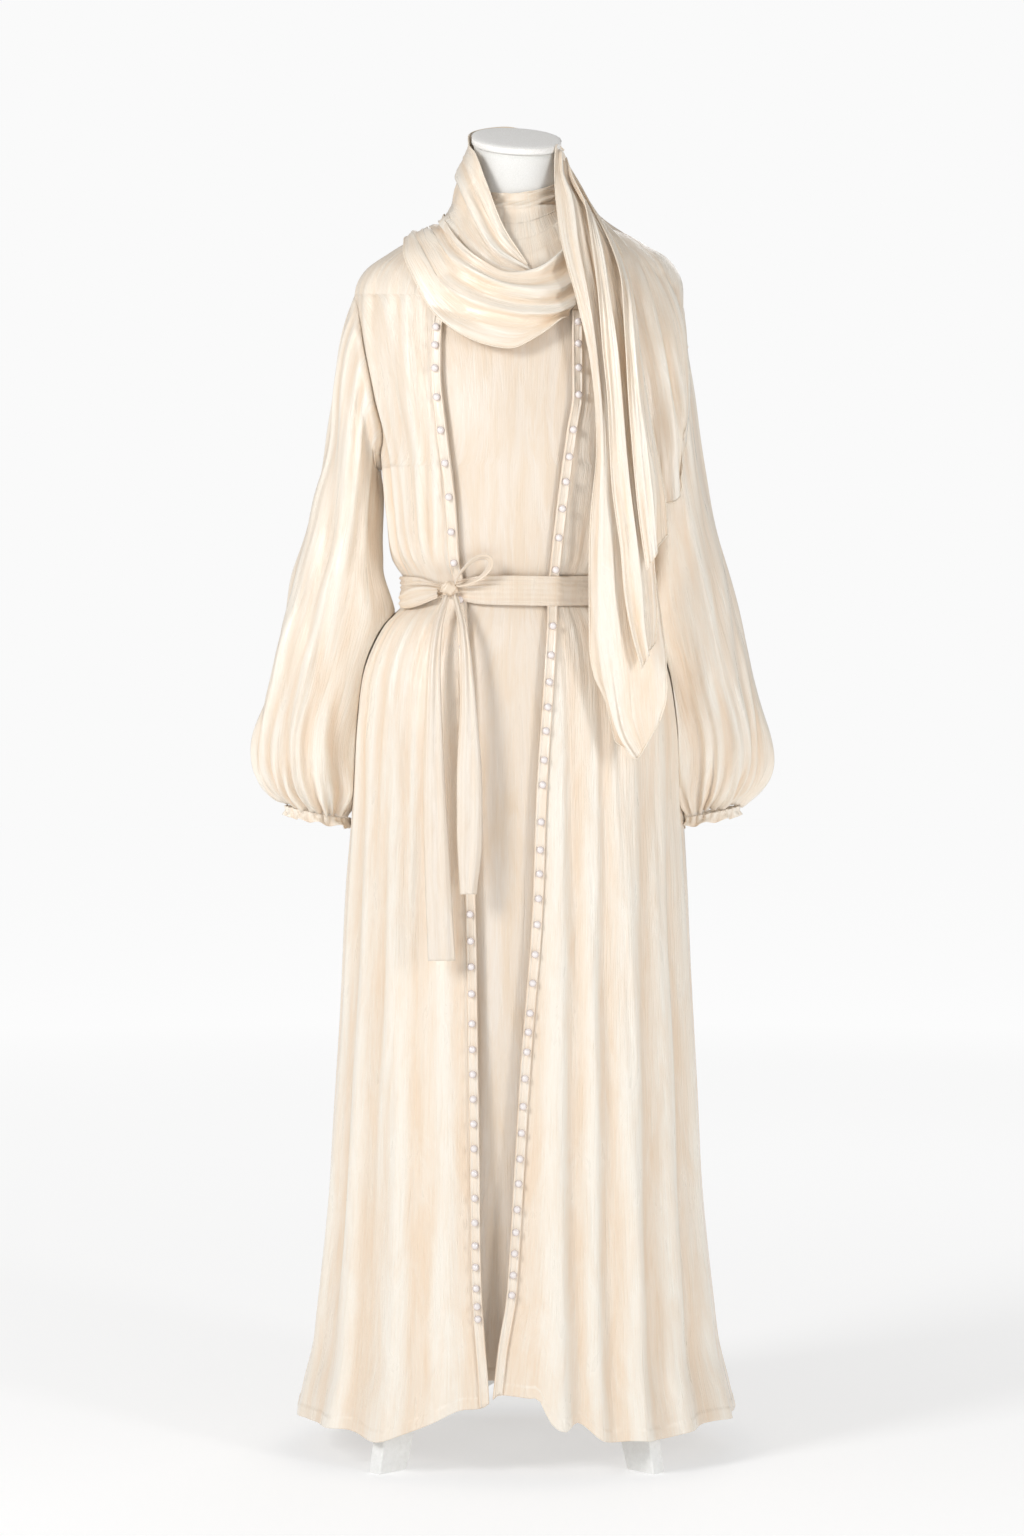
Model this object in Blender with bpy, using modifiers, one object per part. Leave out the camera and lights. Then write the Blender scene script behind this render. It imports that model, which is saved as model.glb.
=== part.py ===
"""An abaya set on a limbless dress form: an open robe with beaded front edges and balloon
sleeves, a slip dress under it, a tied belt and a scarf wound round the neck.

Metres, +Z up. The set faces -Y and stands on the floor at Z 0, with the stand's centre at the
origin. Right and left are the wearer's: right is -X, left is +X. Cloth is a wall of one
thickness, and the pieces lie a seam's gap apart."""

import math

import bpy
import numpy as np

COLLECTION = "abaya_set_on_dress_form"

# Cloth and seams
CLOTH = 0.0014
SEAM = 0.0004
SCARF_CLOTH = 0.0012
ROUNDNESS = 2.2  # a section's corner shape: 2 is an ellipse, more is squarer

# Heights of the robe
NECK_SIDE = 1.432
ARMHOLE_TOP = 1.348
UNDERARM = 1.145
WAIST = 1.003
HEM = 0.045
HEM_RISE_FRONT = 0.026
NECKLINE_DIP = 0.030
SLIP_HEM = 0.108

# Armhole, as an oval hole in each side of the robe
ARMHOLE_FRONT = math.radians(23)
ARMHOLE_BACK = math.radians(25)

# Beaded edges
TRIM_WIDTH = 0.0110
TRIM_THICKNESS = 0.0010
TRIM_TOP = 1.325
TRIM_BARE = (1.021, 1.003, 0.985, 0.105, 0.046)  # heights of its rows that carry no pearl
PEARL_RADIUS = 0.0044
PEARL_PROFILE = ((1, 0), (0.5, 1), (-0.5, 1), (-1, 0))  # along and out, in pearl radii

# Belt
BELT_WIDTH = 0.034
BELT_GAP = 0.0006
KNOT = (-0.0765, -0.1055, 1.0045)
KNOT_RADIUS = 0.0085
LOOP_STEPS = 13
TAIL_STEPS = 10
LYING_STEPS = 6
LYING_LIFT = 0.0108

# Dress form and stand
NECK_RADIUS = 0.0500
NECK_TOP = 1.5316
NECK_TILT = math.radians(19.2)
NECK_ROLL = math.radians(3.3)
CAP_BAND = 0.010
POLE_RADIUS = 0.016
HUB_RADIUS = 0.035
HUB_BOTTOM = 0.078
HUB_TOP = 0.166
FOOT_RADIUS = 0.208
KNEE_RADIUS = 0.192
KNEE_HEIGHT = 0.086
LEG_THICKNESS = 0.019
FOOT_LENGTH = 0.042

# Columns and rows of the grids
SHOULDER_ROWS = (NECK_SIDE, 1.419, 1.404, 1.387, 1.366)
SKIRT_ROWS = (1.090, 1.042, 1.021, WAIST, 0.985, 0.965, 0.920, 0.82, 0.64, 0.44, 0.26, 0.12, HEM)
SLIP_ROWS = (1.090, 1.042, 1.021, WAIST, 0.985, 0.925, 0.82, 0.55, 0.30, SLIP_HEM)
TORSO_ROWS = (0.712, 0.735, 0.81, 0.90, WAIST, 1.08, 1.17, 1.26, 1.342)
FRONT_COLUMNS = 11
BACK_COLUMNS = 20
SLEEVE_COLUMNS = 32
ARMHOLE_ROWS = 8
SLIP_COLUMNS = 12
FORM_COLUMNS = 24


def table(names, *rows):
    """Named columns, one array for each."""
    return dict(zip(names.split(), np.array(rows, float).T))


# Outer face of the robe, without its folds
ROBE = table(
    "height half_width front back",
    (0.030, 0.252, 0.199, 0.200),
    (0.075, 0.242, 0.196, 0.197),
    (0.120, 0.231, 0.190, 0.193),
    (0.170, 0.225, 0.186, 0.189),
    (0.270, 0.2155, 0.178, 0.182),
    (0.410, 0.2065, 0.168, 0.172),
    (0.550, 0.1985, 0.158, 0.163),
    (0.670, 0.1930, 0.149, 0.155),
    (0.760, 0.1890, 0.142, 0.149),
    (0.860, 0.1840, 0.134, 0.140),
    (0.920, 0.1740, 0.127, 0.131),
    (0.965, 0.1520, 0.117, 0.116),
    (0.985, 0.1345, 0.109, 0.100),
    (1.003, 0.1305, 0.107, 0.096),
    (1.021, 0.1330, 0.109, 0.098),
    (1.042, 0.1440, 0.117, 0.104),
    (1.100, 0.1510, 0.132, 0.108),
    (1.160, 0.1560, 0.140, 0.110),
    (1.230, 0.1730, 0.131, 0.113),
    (1.300, 0.1860, 0.116, 0.113),
    (1.345, 0.1875, 0.103, 0.108),
    (1.377, 0.1755, 0.090, 0.101),
    (1.394, 0.1520, 0.080, 0.094),
    (1.412, 0.1210, 0.070, 0.083),
    (1.432, 0.0680, 0.058, 0.066),
    (1.450, 0.0560, 0.054, 0.060),
)

# How far the slip's outer face lies inside the robe's
SLIP_INSET = table(
    "height inset",
    (0.030, 0.028),
    (0.170, 0.022),
    (0.410, 0.013),
    (0.670, 0.008),
    (0.860, 0.006),
    (1.003, 0.0045),
    (1.100, 0.0055),
    (1.230, 0.0050),
    (1.345, 0.0036),
    (1.450, 0.0030),
)
# How far the slip and the form lie under the robe on the shoulders
SLIP_DROP = 0.0020
FORM_DROP = 0.0048
FORM_INSET = 0.0012

# Sections of the dress form
FORM = table(
    "height half_width front back",
    (0.712, 0.150, 0.096, 0.110),
    (0.730, 0.158, 0.100, 0.118),
    (0.800, 0.163, 0.103, 0.124),
    (0.880, 0.154, 0.100, 0.112),
    (0.950, 0.132, 0.092, 0.094),
    (1.003, 0.117, 0.087, 0.082),
    (1.060, 0.126, 0.098, 0.086),
    (1.120, 0.134, 0.120, 0.092),
    (1.170, 0.139, 0.129, 0.096),
    (1.230, 0.146, 0.120, 0.100),
    (1.300, 0.166, 0.107, 0.103),
    (1.341, 0.1790, 0.0962, 0.1010),
    (1.373, 0.1712, 0.0860, 0.0960),
    (1.390, 0.1480, 0.0762, 0.0892),
    (1.408, 0.1174, 0.0664, 0.0794),
    (1.428, 0.0644, 0.0542, 0.0620),
    (1.448, 0.0506, 0.0500, 0.0506),
    (1.480, 0.0500, 0.0500, 0.0500),
)

# Middle line of each beaded edge, as seen from the front
RIGHT_EDGE = table(
    "height x",
    (0.030, -0.0370),
    (0.130, -0.0415),
    (0.196, -0.0446),
    (0.367, -0.0469),
    (0.511, -0.0492),
    (0.636, -0.0515),
    (0.820, -0.0560),
    (0.999, -0.0633),
    (1.031, -0.0690),
    (1.109, -0.0746),
    (1.186, -0.0837),
    (1.257, -0.0906),
    (1.304, -0.0896),
    (1.360, -0.0800),
    (1.412, -0.0700),
    (1.440, -0.0560),
)
LEFT_EDGE = table(
    "height x",
    (0.030, -0.0240),
    (0.090, -0.0175),
    (0.179, -0.0062),
    (0.242, -0.0028),
    (0.326, 0.0017),
    (0.477, 0.0108),
    (0.622, 0.0221),
    (0.780, 0.0279),
    (0.870, 0.0336),
    (0.963, 0.0392),
    (1.026, 0.0428),
    (1.127, 0.0540),
    (1.186, 0.0620),
    (1.226, 0.0679),
    (1.284, 0.0679),
    (1.360, 0.0680),
    (1.412, 0.0660),
    (1.440, 0.0560),
)

# Where the pearls sit on each beaded edge, as heights from the top down
PEARLS_RIGHT = (
    1.3029, 1.2821, 1.2555, 1.2222, 1.1845, 1.1471, 1.1087, 1.0693, 1.0342, 0.9694, 0.9386, 0.9080, 0.8774,
    0.8469, 0.8163, 0.7858, 0.7554, 0.7250, 0.6957, 0.6653, 0.6361, 0.6058, 0.5767, 0.5464, 0.5128, 0.4838,
    0.4558, 0.4280, 0.4001, 0.3723, 0.3444, 0.3167, 0.2889, 0.2612, 0.2335, 0.2047, 0.1793, 0.1616,
)
PEARLS_LEFT = (
    1.3088, 1.2832, 1.2555, 1.2245, 1.1845, 1.1538, 1.1257, 1.0952, 1.0625, 1.0292, 0.9690, 0.9295, 0.8989,
    0.8706, 0.8435, 0.8107, 0.7825, 0.7407, 0.7092, 0.6822, 0.6541, 0.6249, 0.5912, 0.5587, 0.5251, 0.5039,
    0.4815, 0.4514, 0.4201, 0.3901, 0.3611, 0.3333, 0.3044, 0.2778, 0.2501, 0.2191, 0.1881,
)

# Soft folds of the robe: where each runs at the hem and where it ends above, in degrees round
# from the front, its half width in degrees, its height at the hem and the height it dies at
ROBE_FOLDS = table(
    "hem_angle top_angle spread height top",
    (-74, -66, 9.0, 0.0100, 1.00),
    (-49, -47, 7.0, 0.0080, 1.00),
    (-30, -34, 5.5, 0.0060, 0.99),
    (12, 24, 5.0, 0.0110, 0.98),
    (27, 36, 5.0, 0.0080, 1.00),
    (45, 50, 7.0, 0.0075, 1.00),
    (70, 66, 8.0, 0.0100, 1.00),
    (96, 92, 8.0, 0.0070, 1.00),
    (118, 112, 9.0, 0.0100, 1.00),
    (142, 138, 9.0, 0.0090, 1.00),
    (167, 165, 9.0, 0.0100, 1.00),
    (192, 194, 9.0, 0.0095, 1.00),
    (218, 222, 9.0, 0.0100, 1.00),
    (243, 247, 9.0, 0.0090, 1.00),
    (265, 267, 8.0, 0.0070, 1.00),
)

# Rings of a sleeve below its armhole: outer and inner point seen from the front, middle depth,
# half depth, and how deep its gathers are there
SLEEVE = table(
    "outer_x outer_z inner_x inner_z middle_y half_depth gather",
    (0.2010, 1.308, 0.1590, 1.1300, 0.006, 0.060, 0.0000),
    (0.2190, 1.214, 0.1550, 1.0880, 0.011, 0.064, 0.0005),
    (0.2400, 1.112, 0.1520, 1.0350, 0.017, 0.067, 0.0012),
    (0.2690, 1.003, 0.1560, 0.9700, 0.023, 0.071, 0.0018),
    (0.2920, 0.908, 0.1720, 0.8950, 0.030, 0.073, 0.0020),
    (0.3045, 0.826, 0.1940, 0.8120, 0.035, 0.069, 0.0024),
    (0.3010, 0.794, 0.1950, 0.7800, 0.036, 0.061, 0.0028),
    (0.2890, 0.771, 0.1955, 0.7560, 0.036, 0.050, 0.0028),
    (0.2740, 0.757, 0.1965, 0.7420, 0.036, 0.040, 0.0024),
    (0.2705, 0.753, 0.1975, 0.7375, 0.036, 0.037, 0.0016),
)
CUFF = table(
    "outer_x outer_z inner_x inner_z middle_y half_depth gather",
    (0.2702, 0.7526, 0.1978, 0.7371, 0.036, 0.0369, 0.0016),
    (0.2690, 0.7475, 0.1980, 0.7330, 0.036, 0.0362, 0.0010),
    (0.2685, 0.7420, 0.1975, 0.7275, 0.036, 0.0365, 0.0022),
)

LEFT_SLEEVE_SHARE = 0.965  # the left sleeve hangs this much closer in

# Ridge lines of the scarf, each from its hidden start to its end; x, y, z of each point.
# The collar and the cowl run from behind the neck over the right shoulder to the left front.
COLLAR_LINES = (
    ((0.0555, 0.006, 1.505), (0.0370, 0.046, 1.532), (-0.0120, 0.0595, 1.551), (-0.0515, 0.031, 1.540),
     (-0.0565, -0.010, 1.520), (-0.0480, -0.045, 1.506), (-0.0345, -0.064, 1.470), (-0.0150, -0.083, 1.420),
     (0.0130, -0.1005, 1.374)),
    ((0.0620, 0.012, 1.484), (0.0430, 0.053, 1.495), (-0.0100, 0.0720, 1.506), (-0.0590, 0.045, 1.501),
     (-0.0720, -0.005, 1.486), (-0.0645, -0.053, 1.462), (-0.0470, -0.079, 1.425), (-0.0220, -0.0970, 1.389),
     (0.0180, -0.1040, 1.366)),
    ((0.0680, 0.018, 1.462), (0.0500, 0.060, 1.456), (-0.0100, 0.0845, 1.450), (-0.0690, 0.055, 1.446),
     (-0.0850, 0.000, 1.434), (-0.0760, -0.057, 1.417), (-0.0620, -0.082, 1.395), (-0.0360, -0.0985, 1.372),
     (0.0140, -0.1020, 1.357)),
)
COWL_LINES = (
    ((0.0740, 0.030, 1.452), (0.0480, 0.076, 1.458), (-0.0040, 0.0875, 1.456), (-0.0640, 0.064, 1.449),
     (-0.0950, 0.012, 1.449), (-0.0850, -0.058, 1.430), (-0.0680, -0.092, 1.403), (-0.0400, -0.1110, 1.3790),
     (-0.0080, -0.1150, 1.3655), (0.0220, -0.1130, 1.370), (0.0480, -0.1010, 1.388), (0.0620, -0.086, 1.405)),
    ((0.0840, 0.034, 1.436), (0.0540, 0.085, 1.436), (-0.0040, 0.1030, 1.434), (-0.0680, 0.078, 1.431),
     (-0.1020, 0.012, 1.430), (-0.0930, -0.057, 1.410), (-0.0760, -0.095, 1.383), (-0.0440, -0.1190, 1.3610),
     (-0.0100, -0.1270, 1.3475), (0.0240, -0.1260, 1.343), (0.0540, -0.1140, 1.347), (0.0700, -0.103, 1.360)),
    ((0.0940, 0.038, 1.426), (0.0600, 0.091, 1.412), (-0.0040, 0.1110, 1.406), (-0.0780, 0.085, 1.408),
     (-0.1130, 0.012, 1.420), (-0.1030, -0.062, 1.386), (-0.0830, -0.101, 1.352), (-0.0520, -0.1240, 1.3310),
     (-0.0200, -0.1330, 1.3200), (0.0120, -0.1340, 1.315), (0.0460, -0.1240, 1.318), (0.0680, -0.113, 1.328)),
    ((0.1000, 0.042, 1.421), (0.0640, 0.094, 1.392), (-0.0040, 0.1150, 1.372), (-0.0900, 0.088, 1.378),
     (-0.1230, 0.010, 1.414), (-0.1150, -0.063, 1.366), (-0.0960, -0.102, 1.322), (-0.0700, -0.1230, 1.2980),
     (-0.0400, -0.1300, 1.2830), (-0.0080, -0.1330, 1.277), (0.0220, -0.1310, 1.290), (0.0520, -0.122, 1.312)),
)
# The snug wrap is a closed ring: height of its ridges and valleys and how far each stands off the
# neck, at the front and at the back
WRAP_FOLDS = table(
    "front_height back_height stand_off",
    (1.460, 1.482, 0.0023),
    (1.447, 1.474, 0.0090),
    (1.432, 1.465, 0.0085),
    (1.413, 1.462, 0.0158),
    (1.391, 1.456, 0.0188),
)
WRAP_STRETCH = 1.10
# The hanging end runs from the left of the neck down the front
TAIL_LINES = (
    ((0.0575, 0.004, 1.511), (0.0535, -0.020, 1.515), (0.0465, -0.042, 1.516), (0.0460, -0.064, 1.480),
     (0.0490, -0.092, 1.430), (0.0580, -0.118, 1.372), (0.0760, -0.1360, 1.295), (0.0900, -0.1450, 1.200),
     (0.0880, -0.1470, 1.110), (0.0830, -0.1430, 1.010), (0.0830, -0.1470, 0.945), (0.0940, -0.1510, 0.890),
     (0.1145, -0.1550, 0.833)),
    ((0.0600, 0.006, 1.502), (0.0585, -0.020, 1.504), (0.0545, -0.042, 1.496), (0.0575, -0.066, 1.464),
     (0.0640, -0.096, 1.424), (0.0740, -0.126, 1.368), (0.0920, -0.1470, 1.295), (0.1050, -0.1590, 1.200),
     (0.1090, -0.1620, 1.110), (0.1100, -0.1590, 1.010), (0.1130, -0.1620, 0.945), (0.1210, -0.1650, 0.880),
     (0.1370, -0.1640, 0.813)),
    ((0.0625, 0.008, 1.493), (0.0625, -0.018, 1.492), (0.0610, -0.040, 1.482), (0.0670, -0.064, 1.452),
     (0.0755, -0.091, 1.420), (0.0860, -0.120, 1.368), (0.1040, -0.1410, 1.295), (0.1180, -0.1500, 1.200),
     (0.1260, -0.1530, 1.110), (0.1310, -0.1520, 1.040), (0.1360, -0.1550, 0.985), (0.1440, -0.1570, 0.930),
     (0.1590, -0.1530, 0.868)),
    ((0.0645, 0.010, 1.484), (0.0660, -0.014, 1.482), (0.0680, -0.036, 1.470), (0.0750, -0.059, 1.443),
     (0.0845, -0.083, 1.417), (0.0970, -0.113, 1.368), (0.1150, -0.1360, 1.295), (0.1290, -0.1440, 1.200),
     (0.1370, -0.1470, 1.120), (0.1420, -0.1470, 1.060), (0.1450, -0.1480, 1.010), (0.1440, -0.1500, 0.965),
     (0.1420, -0.1500, 0.913)),
    ((0.0660, 0.012, 1.476), (0.0685, -0.010, 1.473), (0.0740, -0.031, 1.458), (0.0820, -0.053, 1.436),
     (0.0920, -0.075, 1.414), (0.1070, -0.104, 1.368), (0.1260, -0.1260, 1.295), (0.1400, -0.1330, 1.220),
     (0.1480, -0.1360, 1.160), (0.1530, -0.1360, 1.120), (0.1560, -0.1370, 1.090), (0.1560, -0.1390, 1.062),
     (0.1500, -0.1400, 1.031)),
)
# The wide fall lies over the left shoulder, front to back
FALL_LINES = (
    ((0.0788, -0.0115, 1.484), (0.0922, -0.039, 1.443), (0.1010, -0.065, 1.405), (0.1046, -0.0855, 1.366),
     (0.1200, -0.1050, 1.295), (0.1340, -0.1090, 1.220), (0.1430, -0.1110, 1.160), (0.1500, -0.1120, 1.102)),
    ((0.0783, -0.001, 1.482), (0.1000, -0.030, 1.438), (0.1250, -0.055, 1.404), (0.1480, -0.080, 1.362),
     (0.1640, -0.0980, 1.300), (0.1740, -0.1020, 1.245), (0.1820, -0.1020, 1.190), (0.1870, -0.1000, 1.110)),
    ((0.0770, 0.012, 1.480), (0.1060, -0.012, 1.433), (0.1400, -0.032, 1.405), (0.1710, -0.053, 1.366),
     (0.1890, -0.0680, 1.318), (0.1960, -0.0760, 1.276), (0.1990, -0.0810, 1.236), (0.1930, -0.0870, 1.172)),
    ((0.0740, 0.028, 1.479), (0.1090, 0.022, 1.432), (0.1440, 0.016, 1.407), (0.1750, 0.007, 1.382),
     (0.1905, -0.002, 1.352), (0.1985, -0.006, 1.328), (0.2010, -0.010, 1.306), (0.2050, -0.014, 1.288)),
    ((0.0680, 0.050, 1.475), (0.0990, 0.064, 1.429), (0.1310, 0.071, 1.402), (0.1580, 0.080, 1.370),
     (0.1800, 0.091, 1.328), (0.1900, 0.097, 1.290), (0.1950, 0.101, 1.254), (0.1980, 0.105, 1.210)),
    ((0.0500, 0.074, 1.474), (0.0770, 0.094, 1.430), (0.1020, 0.110, 1.396), (0.1220, 0.121, 1.352),
     (0.1370, 0.130, 1.300), (0.1460, 0.134, 1.235), (0.1510, 0.134, 1.170), (0.1520, 0.134, 1.090)),
    ((0.0180, 0.099, 1.474), (0.0380, 0.118, 1.426), (0.0560, 0.131, 1.384), (0.0720, 0.140, 1.336),
     (0.0840, 0.146, 1.280), (0.0920, 0.148, 1.210), (0.0960, 0.148, 1.130), (0.0980, 0.148, 1.020)),
    ((-0.0140, 0.106, 1.470), (0.0020, 0.123, 1.424), (0.0160, 0.136, 1.380), (0.0300, 0.143, 1.330),
     (0.0440, 0.147, 1.270), (0.0540, 0.148, 1.200), (0.0620, 0.148, 1.130), (0.0700, 0.148, 1.065)),
)

# Colours (linear), roughness and metallic value of each finish
FINISHES = {
    "robe_crepe_satin": ((0.93, 0.82, 0.68, 1), 0.42, 0.0),
    "slip_satin": ((0.91, 0.82, 0.71, 1), 0.36, 0.0),
    "scarf_satin": ((0.90, 0.79, 0.66, 1), 0.38, 0.0),
    "belt_satin": ((0.90, 0.80, 0.68, 1), 0.38, 0.0),
    "pearl_trim": ((0.86, 0.83, 0.80, 1), 0.22, 0.0),
    "form_fabric": ((0.88, 0.87, 0.84, 1), 0.55, 0.0),
    "cap_fabric": ((0.76, 0.74, 0.69, 1), 0.70, 0.0),
    "stand_enamel": ((0.94, 0.94, 0.93, 1), 0.40, 0.0),
}


def smooth(at, knots, values):
    """A curve through the knots: cubic pieces whose slope at a knot is that of the chord between
    its neighbours, level with the flatter side where the values turn."""
    at = np.clip(at, knots[0], knots[-1])
    chord = np.diff(values) / np.diff(knots)
    slope = np.concatenate([chord[:1], (chord[1:] + chord[:-1]) / 2, chord[-1:]])
    turning = np.concatenate([[False], chord[1:] * chord[:-1] <= 0, [False]])
    slope = np.where(turning, 0.0, slope)
    i = np.clip(np.searchsorted(knots, at, side="right") - 1, 0, len(knots) - 2)
    span = knots[i + 1] - knots[i]
    t = (at - knots[i]) / span
    start = values[i] * (1 + 2 * t) * (1 - t) ** 2 + slope[i] * span * t * (1 - t) ** 2
    return start + values[i + 1] * t**2 * (3 - 2 * t) - slope[i + 1] * span * t**2 * (1 - t)


def ease(t):
    """0 to 1 with level ends."""
    t = np.clip(t, 0, 1)
    return t * t * (3 - 2 * t)


def half_width(sections, height):
    return smooth(height, sections["height"], sections["half_width"])


def loft_point(sections, angle, height, inset=0.0):
    """A point on a body's face. A section is a rounded oval, its front and back half each with
    a depth of its own; the angle is 0 at the front and grows towards +X."""
    angle, height = np.broadcast_arrays(np.asarray(angle, float), np.asarray(height, float))
    wide = half_width(sections, height) - inset
    front = smooth(height, sections["height"], sections["front"]) - inset
    back = smooth(height, sections["height"], sections["back"]) - inset
    across, along = np.sin(angle), np.cos(angle)
    deep = np.where(along > 0, front, back)
    x = wide * np.sign(across) * np.abs(across) ** (2 / ROUNDNESS)
    y = -deep * np.sign(along) * np.abs(along) ** (2 / ROUNDNESS)
    return np.stack([x, y, height], -1)


def edge_angle(edge, shift, height, sections=ROBE):
    """The angle at which the loft's face has the edge line's x, moved sideways by shift."""
    x = smooth(height, edge["height"], edge["x"]) + shift
    share = np.clip(x / half_width(sections, height), -0.97, 0.97)
    return np.arcsin(np.sign(share) * np.abs(share) ** (ROUNDNESS / 2))


def fold_height(angle, height):
    """How far the robe's soft folds stand out: rounded ridges that lean a little, grow towards
    the hem and fade out below the belt."""
    degrees = np.degrees(angle)
    total = np.zeros(np.broadcast(angle, height).shape)
    for centre, top_centre, spread, rise, top in zip(*ROBE_FOLDS.values()):
        share = np.clip((top - height) / (top - HEM), 0, 1)
        middle = top_centre + (centre - top_centre) * share
        away = (degrees - middle + 180) % 360 - 180
        total += rise * share**0.8 * np.exp(-((away / spread) ** 2))
    return total


def dipped(angle, height):
    """Heights of rows near the neck, which dip at the front as the necklines do."""
    share = ease((height - 1.30) / (NECK_SIDE - 1.30))
    return height - NECKLINE_DIP * share * np.maximum(np.cos(angle), 0) ** 1.5


def robe_height(angle, height):
    """Heights of the robe's rows: its hem rises towards the open front."""
    near_hem = ease((0.30 - height) / (0.30 - HEM))
    front = np.exp(-((np.degrees(angle) + 8) / 26.0) ** 2)
    ripple = 0.004 * np.cos(5 * angle + 0.6)
    return dipped(angle, height) + near_hem * (HEM_RISE_FRONT * front + ripple)


def robe_point(angle, height, lift=0.0):
    """A point of the robe's outer face with its folds, moved out by lift."""
    rows = robe_height(angle, height)
    out = fold_height(angle, rows)
    return loft_point(ROBE, angle, rows, inset=-(out + lift))


def slip_point(angle, height, lift=0.0):
    """A point of the slip's outer face, inside the robe by the inset table."""
    rows = dipped(angle, height)
    inset = smooth(rows, SLIP_INSET["height"], SLIP_INSET["inset"])
    points = loft_point(ROBE, angle, rows, inset - lift)
    points[..., 2] -= SLIP_DROP * ease((rows - 1.33) / 0.05)
    return points


def finish_of(name):
    material = bpy.data.materials.get(name)
    if material is None:
        colour, roughness, metallic = FINISHES[name]
        material = bpy.data.materials.new(name)
        material.use_nodes = True
        shader = material.node_tree.nodes["Principled BSDF"]
        shader.inputs["Base Color"].default_value = colour
        shader.inputs["Roughness"].default_value = roughness
        shader.inputs["Metallic"].default_value = metallic
        material.diffuse_color = colour
    return material


def add_object(name, points, faces, finish):
    """A mesh object of these points and faces, in the set's collection."""
    mesh = bpy.data.meshes.new(name)
    mesh.from_pydata([tuple(p) for p in np.reshape(points, (-1, 3))], [], faces)
    mesh.update()
    mesh.shade_smooth()
    mesh.materials.append(finish_of(finish))
    made = bpy.data.objects.new(name, mesh)
    bpy.data.collections[COLLECTION].objects.link(made)
    return made


def grid_faces(rows, columns, closed):
    """Quads of a grid of rows x columns points; closed joins the last column to the first."""
    last = columns if closed else columns - 1
    return [
        (r * columns + c, r * columns + (c + 1) % columns,
         (r + 1) * columns + (c + 1) % columns, (r + 1) * columns + c)
        for r in range(rows - 1)
        for c in range(last)
    ]


def cloth(name, points, finish, closed=False, wall=CLOTH, outward=1):
    """A wall of cloth from a grid of points on its outer face. outward is -1 where the grid's
    own normals point in."""
    rows, columns = points.shape[:2]
    faces = grid_faces(rows, columns, closed)
    if outward < 0:
        faces = [face[::-1] for face in faces]
    made = add_object(name, points, faces, finish)
    thick = made.modifiers.new("wall", "SOLIDIFY")
    thick.thickness = wall
    thick.offset = -1
    return made


def solid_loft(name, rings, finish):
    """A closed solid through rings of equal count, from the bottom up, with flat ends."""
    count = len(rings[0])
    faces = grid_faces(len(rings), count, True)
    faces.append(tuple(reversed(range(count))))
    faces.append(tuple(range((len(rings) - 1) * count, len(rings) * count)))
    return add_object(name, np.concatenate(rings), faces, finish)


def curve_through(points, count):
    """A smooth line through the points, read at count even steps of its length."""
    points = np.array(points, float)
    length = np.concatenate([[0], np.cumsum(np.linalg.norm(np.diff(points, axis=0), axis=1))])
    at = np.linspace(0, length[-1], count)
    return np.stack([smooth(at, length, points[:, k]) for k in range(3)], -1)


def grid_normals(points):
    """Unit normals of an open grid, from the steps along it and across it."""
    normal = np.cross(np.gradient(points, axis=1), np.gradient(points, axis=0))
    return normal / np.linalg.norm(normal, axis=-1, keepdims=True)


def off_body(points, clearance):
    """How far outside the robe's loft a point lies, as a share of the section's radius: below 0
    is inside. The loft is read a little lower down, which raises it on the shoulders."""
    x, y, z = np.moveaxis(points, -1, 0)
    at = z - 0.8 * clearance
    front, back = (smooth(at, ROBE["height"], ROBE[name]) for name in ("front", "back"))
    wide = half_width(ROBE, at) + clearance
    depth = np.where(y < 0, front, back) + clearance
    shares = (np.abs(x) / wide) ** ROUNDNESS + (np.abs(y) / depth) ** ROUNDNESS
    return np.where(z < NECK_SIDE + 0.016, shares ** (1 / ROUNDNESS) - 1, 0)


def clear_of_body(points, clearance):
    """The points, with those inside the robe's loft moved out along its slope, in steps."""
    step = 0.0005
    for _ in range(5):
        off = off_body(points, clearance)
        slope = [(off_body(points + way, clearance) - off) / step for way in step * np.eye(3)]
        slope = np.stack(slope, -1)
        steep = np.maximum((slope**2).sum(-1, keepdims=True), 1e-6)
        points = points - np.minimum(off, 0)[..., None] * slope / steep
    return points


def draped(lines, along, valley, clearance, between=2):
    """A grid through ridge lines: between two ridges the cloth sinks by valley along its
    normal. Rows run along the lines and columns across them."""
    ridges = np.stack([curve_through(line, along) for line in lines], 1)
    steps = np.linspace(0, len(lines) - 1, (len(lines) - 1) * between + 1)
    low = np.minimum(steps.astype(int), len(lines) - 2)
    share = (steps - low)[None, :, None]
    grid = ridges[:, low] * (1 - share) + ridges[:, low + 1] * share
    sink = valley * np.sin(np.pi * (steps - low)) ** 2
    grid = grid - grid_normals(grid) * sink[None, :, None]
    return clear_of_body(grid, clearance)


def panel_rows(skirt):
    """Row heights of a panel from its shoulder down, with one at each tip of the armhole."""
    turn = np.linspace(0, math.pi, ARMHOLE_ROWS + 1)
    middle, reach = (ARMHOLE_TOP + UNDERARM) / 2, (ARMHOLE_TOP - UNDERARM) / 2
    return np.concatenate([SHOULDER_ROWS, middle + reach * np.cos(turn), skirt])


def side_angle(height, bulge, seam_share):
    """The angle of a panel's side edge: the side and shoulder seams, and the armhole between.
    seam_share is the angle that half the seam's gap takes."""
    middle, reach = (ARMHOLE_TOP + UNDERARM) / 2, (ARMHOLE_TOP - UNDERARM) / 2
    across = np.clip((height - middle) / reach, -1, 1)
    return math.pi / 2 - seam_share - bulge * np.sqrt(1 - across**2)


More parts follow.
